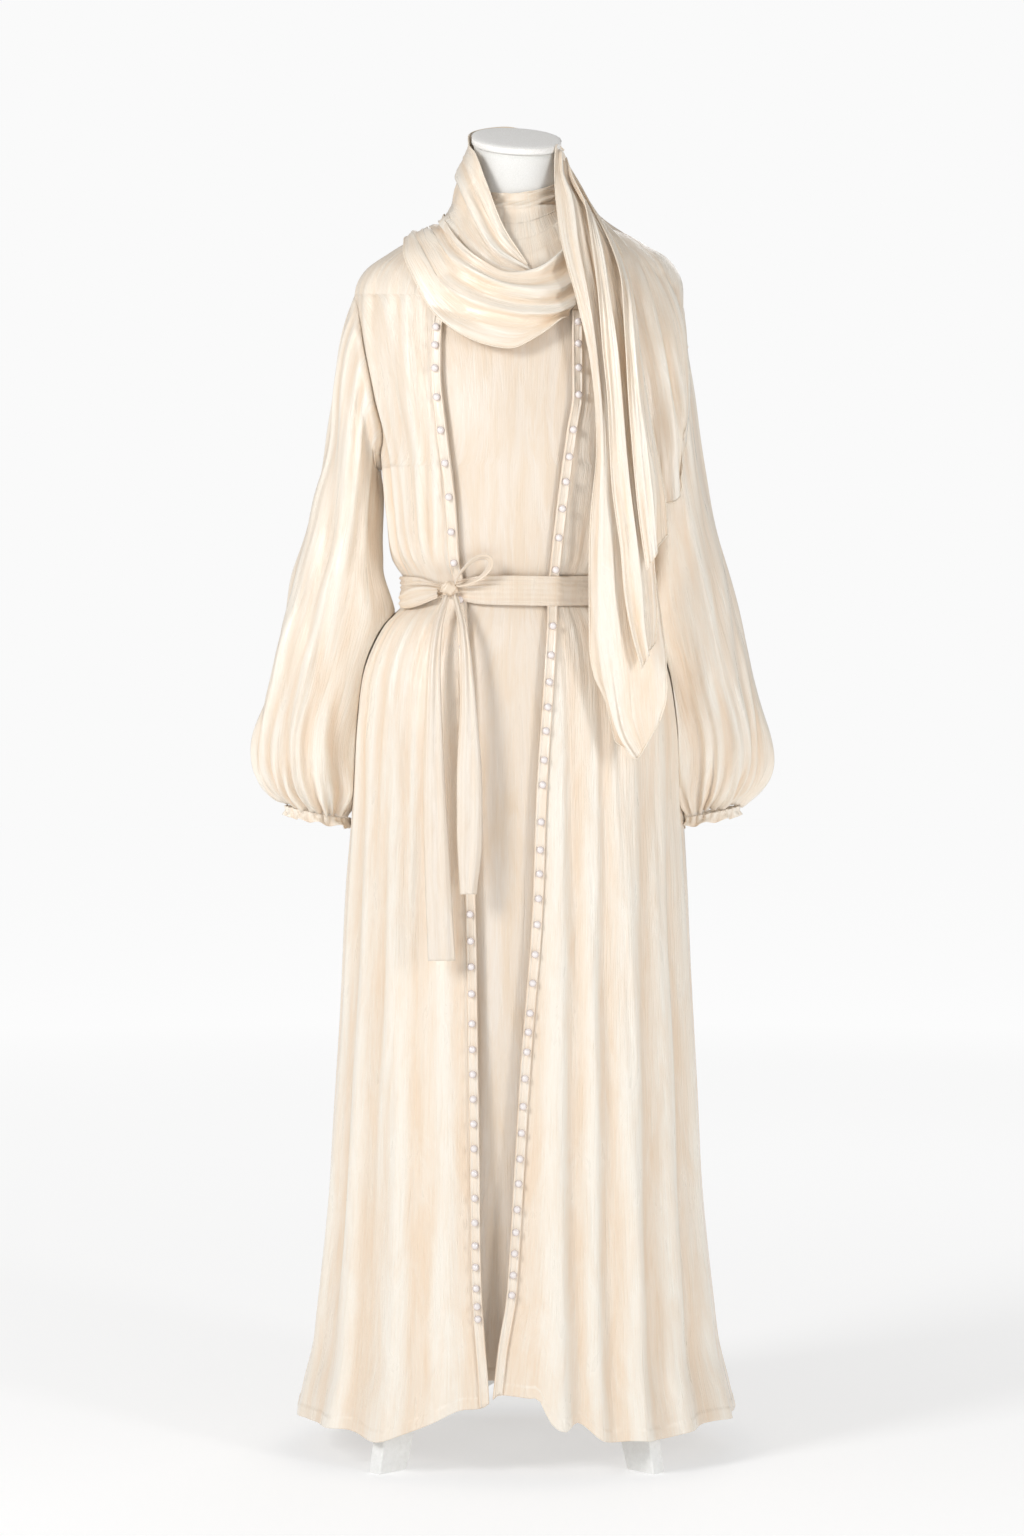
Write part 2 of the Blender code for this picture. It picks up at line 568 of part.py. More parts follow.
def seam_share(height):
    """The angle of half a seam's gap on a section of this height."""
    depth = smooth(height, ROBE["height"], ROBE["front"])
    return (0.5 * SEAM / depth) ** (ROUNDNESS / 2)


def robe_front(name, side, edge):
    """A front: from its open edge round to the side seam, armhole and shoulder seam."""
    rows = panel_rows(SKIRT_ROWS)
    near = edge_angle(edge, -side * TRIM_WIDTH / 2, rows)
    far = side * side_angle(rows, ARMHOLE_FRONT, seam_share(rows))
    share = np.linspace(0, 1, FRONT_COLUMNS)
    angles = near[:, None] + (far - near)[:, None] * share
    points = robe_point(angles, rows[:, None])
    return cloth(name, points, "robe_crepe_satin", outward=-side)


def robe_back():
    rows = panel_rows(SKIRT_ROWS)
    far = side_angle(rows, ARMHOLE_BACK, seam_share(rows))
    share = np.linspace(-1, 1, BACK_COLUMNS + 1)
    angles = math.pi + far[:, None] * share
    points = robe_point(angles, rows[:, None])
    return cloth("robe_back", points, "robe_crepe_satin", outward=-1)


def slip_panel(name, front):
    """The slip's front or back: its neckline, armholes, side seams and hem."""
    rows = panel_rows(SLIP_ROWS)
    far = side_angle(rows, 0.9 * ARMHOLE_FRONT, 1.7 * seam_share(rows))
    share = np.linspace(-1, 1, SLIP_COLUMNS + 1)
    angles = (0 if front else math.pi) + far[:, None] * share
    return cloth(name, slip_point(angles, rows[:, None]), "slip_satin", outward=-1)


def sleeve_ring(row, columns, side):
    """A sleeve's ring: an oval between its outer and inner point, its gathers as a zigzag."""
    turn = np.linspace(0, 2 * math.pi, columns, endpoint=False)
    outer = np.array([row["outer_x"], row["outer_z"]])
    inner = np.array([row["inner_x"], row["inner_z"]])
    middle, reach = (outer + inner) / 2, (outer - inner) / 2
    gather = 1 + row["gather"] / 0.045 * np.where(np.arange(columns) % 2, -1, 1)
    x = (middle[0] + reach[0] * np.cos(turn) * gather) * (LEFT_SLEEVE_SHARE if side > 0 else 1)
    z = middle[1] + reach[1] * np.cos(turn) * gather
    y = row["middle_y"] - row["half_depth"] * np.sin(turn) * gather
    return np.stack([side * x, y, z], -1)


def armhole_ring(side, columns):
    """The sleeve's first ring, on the armhole's oval. Every second point lies on the line
    between its neighbours, as the panels' edges do."""
    turn = np.linspace(0, 2 * math.pi, columns, endpoint=False)
    middle, reach = (ARMHOLE_TOP + UNDERARM) / 2, (ARMHOLE_TOP - UNDERARM) / 2
    height = middle + (reach - 1.5 * SEAM) * np.cos(turn)
    bulge = np.where(np.sin(turn) >= 0, ARMHOLE_FRONT, -ARMHOLE_BACK) - np.sign(np.sin(turn)) * 0.008
    angles = math.pi / 2 - bulge * np.abs(np.sin(turn))
    ring = robe_point(side * angles, height)
    ring[1::2] = (ring[0::2] + np.roll(ring[0::2], -1, axis=0)) / 2
    return ring


def rows_of(columns_table):
    """The rows of a table, each as a dict of its named values."""
    count = len(next(iter(columns_table.values())))
    return [{name: values[i] for name, values in columns_table.items()} for i in range(count)]


def sleeve(name, side):
    head = armhole_ring(side, SLEEVE_COLUMNS)
    low = ease((ARMHOLE_TOP - head[:, 2:]) / (ARMHOLE_TOP - UNDERARM))
    at_bottom, at_top = np.array((side * 0.0075, 0, -0.0030)), np.array((side * 0.004, 0, -0.010))
    turned = head + low * at_bottom + (1 - low) * at_top
    rings = [head, turned] + [sleeve_ring(row, SLEEVE_COLUMNS, side) for row in rows_of(SLEEVE)]
    points = np.stack(rings)
    points[2:] = clear_of_body(points[2:], 0.0048)
    return cloth(name, points, "robe_crepe_satin", closed=True, outward=side)


def cuff(name, side):
    rings = [sleeve_ring(row, SLEEVE_COLUMNS, side) for row in rows_of(CUFF)]
    return cloth(name, clear_of_body(np.stack(rings), 0.0048), "robe_crepe_satin", closed=True, outward=side)


def pearl_trim(name, edge, pearls):
    """The band along a front edge with its row of pearls. The band is a flat triangle in
    section, each pearl is a raised ridge with a blunt top on its middle line, and the belt
    covers it bare."""
    steps = [(TRIM_TOP, 0)]
    for middle in pearls:
        steps += [(middle + along * PEARL_RADIUS, raised) for along, raised in PEARL_PROFILE]
    steps += [(height, 0) for height in TRIM_BARE]
    steps.sort(reverse=True)
    height, raised = np.array(steps).T
    lines = []
    for across, lift in ((-0.5, 0), (0.5, 0), (0, 1)):
        angle = edge_angle(edge, across * (TRIM_WIDTH - 0.0006), height)
        out = 2 * SEAM + lift * (TRIM_THICKNESS + raised * 2 * PEARL_RADIUS)
        lines.append(robe_point(angle, height, out))
    faces = grid_faces(len(height), 3, True)
    last = 3 * (len(height) - 1)
    faces += [(2, 1, 0), (last, last + 1, last + 2)]
    return add_object(name, np.stack(lines, 1), faces, "pearl_trim")


def new_scene():
    for old in list(bpy.data.objects):
        bpy.data.objects.remove(old)
    made = bpy.data.collections.new(COLLECTION)
    bpy.context.scene.collection.children.link(made)


def form_ring(height, tilt=0.0, inset=0.0):
    """A ring of the form's face; tilt slopes it down towards the front and a little to the left."""
    angle = np.linspace(0, 2 * math.pi, FORM_COLUMNS, endpoint=False)
    ring = loft_point(FORM, angle, np.full(FORM_COLUMNS, min(height, 1.48)), inset)
    roll = NECK_ROLL * tilt / NECK_TILT
    ring[:, 2] = height + ring[:, 1] * math.tan(tilt) - ring[:, 0] * math.tan(roll)
    return ring


def shoulder_ring(height):
    """A ring of the form just under the same row of the slip."""
    angle = np.linspace(0, 2 * math.pi, FORM_COLUMNS, endpoint=False)
    return loft_point(FORM, angle, dipped(angle, height) - FORM_DROP, FORM_INSET)


def dress_form():
    """The limbless torso with its neck, cut off on the slant at the top."""
    rings = [form_ring(height) for height in TORSO_ROWS]
    rings += [shoulder_ring(height) for height in reversed(SHOULDER_ROWS)]
    top = NECK_TOP - CAP_BAND - SEAM
    rings += [form_ring(1.446), form_ring(1.480), form_ring((1.480 + top) / 2, 0.5 * NECK_TILT)]
    rings.append(form_ring(top, NECK_TILT))
    solid_loft("dress_form", rings, "form_fabric")


def neck_cap():
    """The padded disc on the neck, a band with a slightly domed top."""
    rings = [
        form_ring(NECK_TOP - CAP_BAND, NECK_TILT, 0.0),
        form_ring(NECK_TOP - 0.8 * CAP_BAND, NECK_TILT, -0.0014),
        form_ring(NECK_TOP - 0.2 * CAP_BAND, NECK_TILT, -0.0014),
        form_ring(NECK_TOP, NECK_TILT, 0.0006),
    ]
    solid_loft("neck_cap", rings, "cap_fabric")


def stand():
    """A pole under the form, a hub on it and four splayed boards with flat feet."""
    pole_top, pole_bottom = 0.712 - SEAM, HUB_TOP + SEAM
    bpy.ops.mesh.primitive_cylinder_add(
        vertices=16, radius=POLE_RADIUS, depth=pole_top - pole_bottom,
        location=(0, 0, (pole_top + pole_bottom) / 2))
    adopt("stand_pole", "stand_enamel")
    bpy.ops.mesh.primitive_cylinder_add(
        vertices=16, radius=HUB_RADIUS, depth=HUB_TOP - HUB_BOTTOM,
        location=(0, 0, (HUB_TOP + HUB_BOTTOM) / 2))
    adopt("stand_hub", "stand_enamel")
    for i in range(4):
        leg(f"stand_leg_{i + 1}", math.radians(45 + 90 * i))


def adopt(name, finish):
    """Names the object that a primitive just made, and moves it to the set's collection."""
    made = bpy.context.object
    made.name = made.data.name = name
    made.data.materials.append(finish_of(finish))
    for holder in list(made.users_collection):
        holder.objects.unlink(made)
    bpy.data.collections[COLLECTION].objects.link(made)
    return made


def leg(name, turn):
    """A tapered board from the hub out and down to a flat foot."""
    near = HUB_RADIUS + SEAM
    outline = (
        (near, HUB_TOP - 0.006), (near + 0.020, HUB_TOP - 0.006),
        (KNEE_RADIUS + FOOT_LENGTH / 2, KNEE_HEIGHT),
        (FOOT_RADIUS + FOOT_LENGTH / 2, 0), (FOOT_RADIUS - FOOT_LENGTH / 2, 0),
        (KNEE_RADIUS - FOOT_LENGTH / 2, KNEE_HEIGHT - 0.036),
        (near, HUB_BOTTOM + 0.004),
    )
    count = len(outline)
    points = [(r, side * LEG_THICKNESS / 2, z) for side in (-1, 1) for r, z in outline]
    faces = [tuple(reversed(range(count))), tuple(range(count, 2 * count))]
    faces += [(i, (i + 1) % count, (i + 1) % count + count, i + count) for i in range(count)]
    made = add_object(name, points, faces, "stand_enamel")
    made.data.shade_flat()
    made.rotation_euler.z = turn


def belt_band():
    """The band round the waist, creased along its length, its ends under the knot."""
    columns = 36
    angle = np.linspace(0, 2 * math.pi, columns, endpoint=False) + math.atan2(KNOT[0], -KNOT[1])
    across = table(
        "height lift",
        (0.5, 0.0026), (0.2, 0.0046), (-0.15, 0.0032), (-0.5, 0.0042),
    )
    turn = np.arange(columns) * 2 * math.pi / columns
    pinch = 1 - 0.42 * np.exp(-((np.minimum(turn, 2 * math.pi - turn) / 0.16) ** 2))
    rows = []
    for share, lift in zip(across["height"], across["lift"]):
        height = WAIST + share * BELT_WIDTH * pinch
        rows.append(loft_point(ROBE, angle, height, -(BELT_GAP + CLOTH + lift)))
    cloth("belt_band", np.stack(rows), "belt_satin", closed=True, outward=-1)


def ribbon(name, path, widths, side_ways, finish, wall=CLOTH, outward=-1, cup=0.0):
    """A flat strip along a path: its width and the direction across it at each point. cup
    bends its middle out of the flat."""
    path, widths, side_ways = (np.array(v, float) for v in (path, widths, side_ways))
    across = np.linspace(-0.5, 0.5, 4)
    step = np.gradient(path, axis=0)
    normal = np.cross(side_ways, step)
    normal /= np.linalg.norm(normal, axis=1, keepdims=True)
    bend = cup * (0.25 - across**2) * 4
    points = (path[:, None] + side_ways[:, None] * (widths[:, None] * across)[..., None]
              + normal[:, None] * bend[None, :, None])
    return cloth(name, points, finish, wall=wall, outward=outward)


def belt_bow():
    """The knot, the loop that stands up beside it, the loop pressed flat on the band and the
    two hanging ends."""
    bpy.ops.mesh.primitive_uv_sphere_add(segments=10, ring_count=6, radius=KNOT_RADIUS, location=KNOT)
    knot = adopt("belt_knot", "belt_satin")
    knot.data.shade_smooth()
    knot.scale = (1.15, 0.75, 0.95)
    bpy.context.view_layer.update()
    turn = np.linspace(math.radians(8), math.radians(352), LOOP_STEPS)
    lean = math.radians(37)
    reach, half = 0.0235, 0.0115
    along = -reach * np.cos(turn)
    away = half * np.sin(turn)
    start = np.array(KNOT) + (0.0262, -0.0110, 0.0190)
    x = start[0] + along * math.cos(lean) - away * math.sin(lean)
    y = start[1] - 0.30 * along
    z = start[2] + along * math.sin(lean) + away * math.cos(lean)
    path = np.stack([x, y, z], -1)
    side_ways = np.tile((0.0, 1.0, 0.0), (LOOP_STEPS, 1))
    width = 0.005 + 0.006 * np.sin(turn / 2) ** 2
    ribbon("belt_loop", path, width, side_ways, "belt_satin")
    turn = np.linspace(-0.66, -1.25, LYING_STEPS)
    path = loft_point(ROBE, turn, np.linspace(1.000, 0.992, LYING_STEPS), -LYING_LIFT)
    width = 0.010 + 0.013 * np.sin(np.linspace(0.1, 2.7, LYING_STEPS))
    side_ways = np.tile((0.0, 0.0, 1.0), (LYING_STEPS, 1))
    ribbon("belt_loop_lying", path, width, side_ways, "belt_satin", outward=1)
    tails = (
        ("belt_tail_long",
         ((-0.0800, -0.1085, 0.9968), (-0.0900, -0.1260, 0.9600), (-0.0945, -0.1420, 0.9000),
          (-0.0935, -0.1560, 0.8000), (-0.0900, -0.1660, 0.7000), (-0.0845, -0.1740, 0.5850)),
         (0.0080, 0.0155, 0.0215, 0.0265, 0.0295, 0.0310)),
        ("belt_tail_short",
         ((-0.0703, -0.1085, 0.9968), (-0.0610, -0.1340, 0.9600), (-0.0560, -0.1500, 0.9000),
          (-0.0535, -0.1620, 0.8000), (-0.0530, -0.1690, 0.7200), (-0.0545, -0.1740, 0.6600)),
         (0.0070, 0.0120, 0.0190, 0.0280, 0.0290, 0.0190)),
    )
    for name, line, widths in tails:
        path = curve_through(line, TAIL_STEPS)
        width = np.interp(np.linspace(0, 1, TAIL_STEPS), np.linspace(0, 1, len(widths)), widths)
        side_ways = np.tile((1.0, 0.0, 0.0), (TAIL_STEPS, 1))
        ribbon(name, path, width, side_ways, "belt_satin", cup=0.003)


def scarf_wrap():
    """The snug turn round the neck, a closed ring of soft folds."""
    columns = 24
    angle = np.linspace(0, 2 * math.pi, columns, endpoint=False)
    share = (1 + np.cos(angle)) / 2
    rows = []
    for front, back, off in zip(*WRAP_FOLDS.values()):
        height = back + (front - back) * share**2.2 + 0.004 * np.sin(angle)
        radius = NECK_RADIUS + off
        rows.append(np.stack([radius * np.sin(angle), -radius * WRAP_STRETCH * np.cos(angle), height], -1))
    points = clear_of_body(np.stack(rows), 0.0036)
    cloth("scarf_wrap", points, "scarf_satin", closed=True, wall=SCARF_CLOTH, outward=-1)


def scarf():
    scarf_wrap()
    pieces = (
        ("scarf_collar", COLLAR_LINES, 17, 0.004, 0.004, 1),
        ("scarf_cowl", COWL_LINES, 20, 0.009, 0.004, 1),
        ("scarf_tail", TAIL_LINES, 16, 0.011, 0.004, -1),
        ("scarf_fall", FALL_LINES, 10, 0.006, 0.0088, -1),
    )
    for name, lines, along, valley, clearance, outward in pieces:
        points = draped(lines, along, valley, clearance)
        cloth(name, points, "scarf_satin", wall=SCARF_CLOTH, outward=outward)


def main():
    new_scene()
    dress_form()
    neck_cap()
    stand()
    slip_panel("slip_front", True)
    slip_panel("slip_back", False)
    robe_front("robe_front_right", -1, RIGHT_EDGE)
    robe_front("robe_front_left", 1, LEFT_EDGE)
    robe_back()
    for side, word in ((-1, "right"), (1, "left")):
        sleeve(f"sleeve_{word}", side)
        cuff(f"cuff_{word}", side)
    pearl_trim("pearl_trim_right", RIGHT_EDGE, PEARLS_RIGHT)
    pearl_trim("pearl_trim_left", LEFT_EDGE, PEARLS_LEFT)
    belt_band()
    belt_bow()
    scarf()


main()
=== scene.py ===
"""The looks of an abaya set on a limbless dress form: an open robe with beaded front edges and
balloon sleeves, a slip dress, a tied belt and a scarf wound round the neck.

Metres, +Z up; the tables that go through millimetres or ridges are in millimetres. The set faces
-Y. Right and left are the wearer's: right is -X, left is +X."""

import math

import bpy
import numpy as np
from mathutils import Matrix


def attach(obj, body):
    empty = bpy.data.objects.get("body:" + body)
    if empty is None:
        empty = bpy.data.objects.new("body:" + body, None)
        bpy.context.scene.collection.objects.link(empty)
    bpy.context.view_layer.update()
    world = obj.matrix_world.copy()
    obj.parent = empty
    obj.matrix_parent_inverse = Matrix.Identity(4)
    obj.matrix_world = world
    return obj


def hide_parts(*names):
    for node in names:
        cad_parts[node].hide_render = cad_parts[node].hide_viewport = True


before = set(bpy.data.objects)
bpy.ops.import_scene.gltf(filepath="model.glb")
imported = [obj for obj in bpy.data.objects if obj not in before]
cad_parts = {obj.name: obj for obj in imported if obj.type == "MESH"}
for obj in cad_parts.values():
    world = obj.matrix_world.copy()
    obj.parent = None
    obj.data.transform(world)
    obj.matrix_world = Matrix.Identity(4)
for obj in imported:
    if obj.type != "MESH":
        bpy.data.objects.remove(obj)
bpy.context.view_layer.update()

# Cloth and seams
CLOTH = 0.0007
SEAM = 0.0004
ROUNDNESS = 2.2  # a section's corner shape: 2 is an ellipse, more is squarer
HEM_PROUD = 0.0008  # the turned hem stands out this far
HEM_DEPTH = 0.012  # and is this deep
ROLL_RADIUS = 0.0008  # the scarf's rolled hem
WRAP_ROLL_RADIUS = 0.0007

# Heights of the robe
NECK_SIDE = 1.432
ARMHOLE_TOP = 1.348
UNDERARM = 1.145
ARMHOLE_MIDDLE = (ARMHOLE_TOP + UNDERARM) / 2
ARMHOLE_REACH = (ARMHOLE_TOP - UNDERARM) / 2
WAIST = 1.003
HEM = 0.045
HEM_SETTLES = 0.30  # above this the rows no longer follow the hem line
NECKLINE_START = 1.30
NECKLINE_DIP = 0.030
SHOULDER_START = 1.33  # the relief fades out above this
SLIP_HEM = 0.108
ARMHOLE_FRONT = math.radians(23)
ARMHOLE_BACK = math.radians(25)
SEAM_ANGLE = math.pi / 2 - 0.001  # where the side seams run

# Sleeves
LEFT_SLEEVE_SHARE = 0.965  # the left sleeve hangs this much closer in
ELBOW = 1.15
SLEEVE_FORWARD = 0.014  # how far both swing forward from the elbow down
SLEEVE_LEAN = 0.018  # how far their inner sides press against the skirt
SLEEVE_GAP = 0.0006  # between a sleeve and the robe under it
SLEEVE_ROWS = 112
SLEEVE_COLUMNS = 200
CUFF_ROWS = 15
CUFF_PLEATS = 25

# Beaded edges
TRIM_WIDTH = 0.0110
TRIM_TOP = 1.325
PEARL_RADIUS = 0.0043

# Belt
BELT_WIDTH = 0.034
BELT_LIFT = 0.0023
BELT_CLEAR = 0.0165  # the robe has no relief this far above and below the belt's middle
KNOT = np.array((-0.0765, -0.1055, 1.0045))
KNOT_HALF = np.array((0.0092, 0.0062, 0.0080))
LOOP_PLACE = (0.0262, -0.0110, 0.0190)  # from the knot to the middle of the standing loop
LOOP_HALF_LENGTH = 0.0240
LOOP_HALF_WIDTH = 0.0125
LOOP_LEAN = math.radians(37)
LYING_LIFT = 0.0108

# Light: the surround's strength, the floor's own glow, and for each light its place, its aim, its
# width and height in metres and its power in watts
AMBIENT = 0.365
SURROUND = 0.956  # as the camera sees it
FLOOR_GLOW = (0.51, 0.752)  # at the stand and 5 m away
LIGHTS = (
    ("key", (-2.8, -2.55, 2.6), (0, 0, 0.85), (1.0, 1.5), 85),
    ("tall", (2.3, -2.6, 1.4), (0, 0, 0.8), (0.5, 1.8), 32),
    ("behind", (0.8, 2.6, 2.5), (0, 0, 0.9), (1.6, 1.2), 11),
)

# Satin's patterns, as repeats across and along one metre of cloth
SLUBS = (700, 17, 1)  # 1.4 by 60 mm
PATCHES = (62, 10, 1)  # 16 by 100 mm
THREADS = (900, 450, 1)  # 1.1 by 2.2 mm; real ones, 0.1 mm apart, are too fine to show

# Camera
CAMERA_PLACE = (-0.0053, -4.5, 0.946)
CAMERA_DOWN = math.radians(1.9)
CAMERA_LENS = 90.15

# Dress form and stand
NECK_RADIUS = 0.0500
NECK_TOP = 1.5316
NECK_TILT = math.radians(19.2)
NECK_ROLL = math.radians(3.3)
NECK_BASE = 1.480
CAP_BAND = 0.010
RING_POINTS = 96
POLE_RADIUS = 0.016
POLE_TOP = 0.7115
HUB_RADIUS = 0.035
HUB_BOTTOM = 0.078
HUB_TOP = 0.166
TURNED_EDGE = 0.0015
FOOT_RADIUS = 0.208
KNEE_RADIUS = 0.192
KNEE_HEIGHT = 0.086
LEG_THICKNESS = 0.019
FOOT_LENGTH = 0.042


def table(names, *rows):
    """Named columns, one array for each."""
    return dict(zip(names.split(), np.array(rows, float).T))


def millimetres(names, *rows):
    """A table whose rows are given in millimetres."""
    return {name: column / 1000 for name, column in table(names, *rows).items()}


def ridges(*lines):
    """Lines whose points are given in millimetres."""
    return [np.array(line, float) / 1000 for line in lines]


# Outer face of the robe, without its folds
ROBE = millimetres(
    "height half_width front back",
    (30, 252, 199, 200), (75, 242, 196, 197), (120, 231, 190, 193), (170, 225, 186, 189),
    (270, 215.5, 178, 182), (410, 206.5, 168, 172), (550, 198.5, 158, 163), (670, 193, 149, 155),
    (760, 189, 142, 149), (860, 184, 134, 140), (920, 174, 127, 131), (965, 152, 117, 116),
    (985, 134.5, 109, 100), (1003, 130.5, 107, 96), (1021, 133, 109, 98), (1042, 144, 117, 104),
    (1100, 151, 132, 108), (1160, 156, 140, 110), (1230, 173, 131, 113), (1300, 186, 116, 113),
    (1345, 187.5, 103, 108), (1377, 175.5, 90, 101), (1394, 152, 80, 94), (1412, 121, 70, 83),
    (1432, 68, 58, 66), (1450, 56, 54, 60),
)
# How far the slip's outer face lies inside the robe's
SLIP_INSET = millimetres(
    "height inset",
    (30, 22), (170, 16), (410, 9), (670, 5.5), (860, 4.2), (1003, 3.4), (1100, 4.2), (1230, 4),
    (1345, 3.2), (1450, 3),
)
# How far the slip and the form lie under the robe on the shoulders
SLIP_DROP = 0.0020
FORM_DROP = 0.0048
FORM_INSET = 0.0012
# The dress form's face
FORM = millimetres(
    "height half_width front back",
    (712, 150, 96, 110), (730, 158, 100, 118), (800, 163, 103, 124), (880, 154, 100, 112),
    (950, 132, 92, 94), (1003, 117, 87, 82), (1060, 126, 98, 86), (1120, 134, 120, 92),
    (1170, 139, 129, 96), (1230, 146, 120, 100), (1300, 166, 107, 103), (1341, 179, 96.2, 101),
    (1373, 171.2, 86, 96), (1390, 148, 76.2, 89.2), (1408, 117.4, 66.4, 79.4), (1428, 64.4, 54.2, 62),
    (1448, 50.6, 50, 50.6), (1480, 50, 50, 50),
)
# Middle line of each beaded edge, as seen from the front
RIGHT_EDGE = millimetres(
    "height x",
    (30, -37), (130, -41.5), (196, -44.6), (367, -46.9), (511, -49.2), (636, -51.5), (820, -56),
    (999, -63.3), (1031, -69), (1109, -74.6), (1186, -83.7), (1257, -90.6), (1304, -89.6), (1360, -80),
    (1412, -70), (1440, -56),
)
LEFT_EDGE = millimetres(
    "height x",
    (30, -24), (90, -17.5), (179, -6.2), (242, -2.8), (326, 1.7), (477, 10.8), (622, 22.1), (780, 27.9),
    (870, 33.6), (963, 39.2), (1026, 42.8), (1127, 54), (1186, 62), (1226, 67.9), (1284, 67.9), (1360, 68),
    (1412, 66), (1440, 56),
)
# Soft folds of the robe: where each runs at the hem and where it ends above, in degrees round
# from the front, its half width in degrees, its height at the hem and the height it dies at
ROBE_FOLDS = table(
    "hem_angle top_angle spread height top",
    (-78, -73, 9, 0.0085, 1), (-55, -61, 7, 0.008, 1), (-32, -45, 6.5, 0.011, 1),
    (-17, -25, 3.5, 0.0045, 0.98), (9.6, 13.5, 4.6, 0.015, 1), (19.5, 27.5, 3.8, 0.008, 1),
    (32, 46, 6, 0.011, 1), (49, 61, 6.5, 0.0075, 1), (72, 74, 8, 0.009, 1), (96, 92, 8, 0.007, 1),
    (118, 112, 9, 0.01, 1), (142, 138, 9, 0.009, 1), (167, 165, 9, 0.01, 1), (192, 194, 9, 0.0095, 1),
    (218, 222, 9, 0.01, 1), (243, 247, 9, 0.009, 1), (265, 267, 8, 0.007, 1),
)
FOLD_SWELL = 1.15  # every one stands out this much more than its row says
# Folds of the bodice, which fan up from the belt and the tied side and over the shoulders: where
# each starts in degrees round, the height it ends at, its lean and its half width in degrees, how
# much that grows, and its rise
BODICE_START = 1.02
BODICE_FOLDS = (
    (-37, 1.30, 9, 1.2, 4, 0.0036), (-43, 1.46, 4, 1.3, 7.5, 0.0062), (-52, 1.24, -4, 1.4, 4, 0.0042),
    (-59, 1.42, -12, 1.6, 6, 0.0050), (-70, 1.30, -14, 1.8, 5, 0.0040), (33, 1.30, -4, 1.2, 4.6, 0.0036),
    (44, 1.44, 2, 1.6, 6.5, 0.0052), (58, 1.28, 8, 1.8, 5, 0.0042), (74, 1.28, 8, 1.8, 5, 0.0040),
    (110, 1.30, 3, 2, 6, 0.0050), (130, 1.42, 2, 2, 6, 0.0060), (152, 1.40, 1, 2, 6, 0.0050),
    (176, 1.44, 0, 2, 6, 0.0060), (200, 1.40, -1, 2, 6, 0.0050), (224, 1.42, -2, 2, 6, 0.0060),
    (248, 1.32, -3, 2, 6, 0.0050),
)
# The hem line round the robe: it rises to the open edges and steps down at the first large fold
HEM_LINE = table(
    "degrees height",
    (-180, 0.043), (-150, 0.048), (-120, 0.042), (-90, 0.045), (-60, 0.045), (-50, 0.046), (-36, 0.0385),
    (-27, 0.051), (-20, 0.064), (-13.7, 0.078), (-7, 0.083), (-3.5, 0.096), (2.2, 0.093), (4.8, 0.091),
    (6.8, 0.069), (10.5, 0.058), (13.7, 0.066), (19.8, 0.045), (30, 0.0425), (37.7, 0.04), (47, 0.044),
    (59, 0.048), (90, 0.043), (120, 0.048), (150, 0.042), (180, 0.043),
)
# Rings of a sleeve below its armhole: outer and inner point seen from the front, middle depth and
# half depth. The cuff goes on from the last.
SLEEVE = millimetres(
    "outer_x outer_z inner_x inner_z middle_y half_depth",
    (201, 1308, 159, 1130, 6, 60), (219, 1214, 155, 1088, 11, 64), (240, 1112, 152, 1035, 17, 67),
    (269, 1003, 156, 970, 23, 71), (292, 908, 172, 895, 30, 73), (304.5, 826, 194, 812, 35, 69),
    (301, 794, 195, 780, 36, 61), (289, 771, 195.5, 756, 36, 50), (274, 757, 196.5, 742, 36, 40),
    (270.5, 753, 197.5, 737.5, 36, 37),
)
CUFF = millimetres(
    "outer_x outer_z inner_x inner_z middle_y half_depth",
    (270.2, 752.6, 197.8, 737.1, 36, 36.9), (269, 747.5, 198, 733, 36, 36.2),
    (268.5, 742, 197.5, 727.5, 36, 36.5),
)
# Ridge lines of the scarf, each from its hidden start to its end, by x, y and z of each point.
# The collar and the cowl run from behind the neck over the right shoulder to the left front.
COLLAR_LINES = ridges(
    ((55.5, 6, 1505), (37, 46, 1532), (-12, 59.5, 1551), (-52, 31, 1541), (-55.2, -10, 1522),
     (-48, -45, 1506), (-34.5, -64, 1470), (-15, -83, 1420), (13, -100.5, 1374)),
    ((62, 12, 1484), (43, 53, 1495), (-10, 72, 1506), (-59, 45, 1501), (-72, -5, 1486), (-64.5, -53, 1462),
     (-47, -79, 1425), (-22, -97, 1389), (18, -104, 1366)),
    ((68, 18, 1462), (50, 60, 1456), (-10, 84.5, 1450), (-69, 55, 1446), (-85, 0, 1434), (-76, -57, 1417),
     (-62, -82, 1395), (-36, -98.5, 1372), (14, -102, 1357)),
)
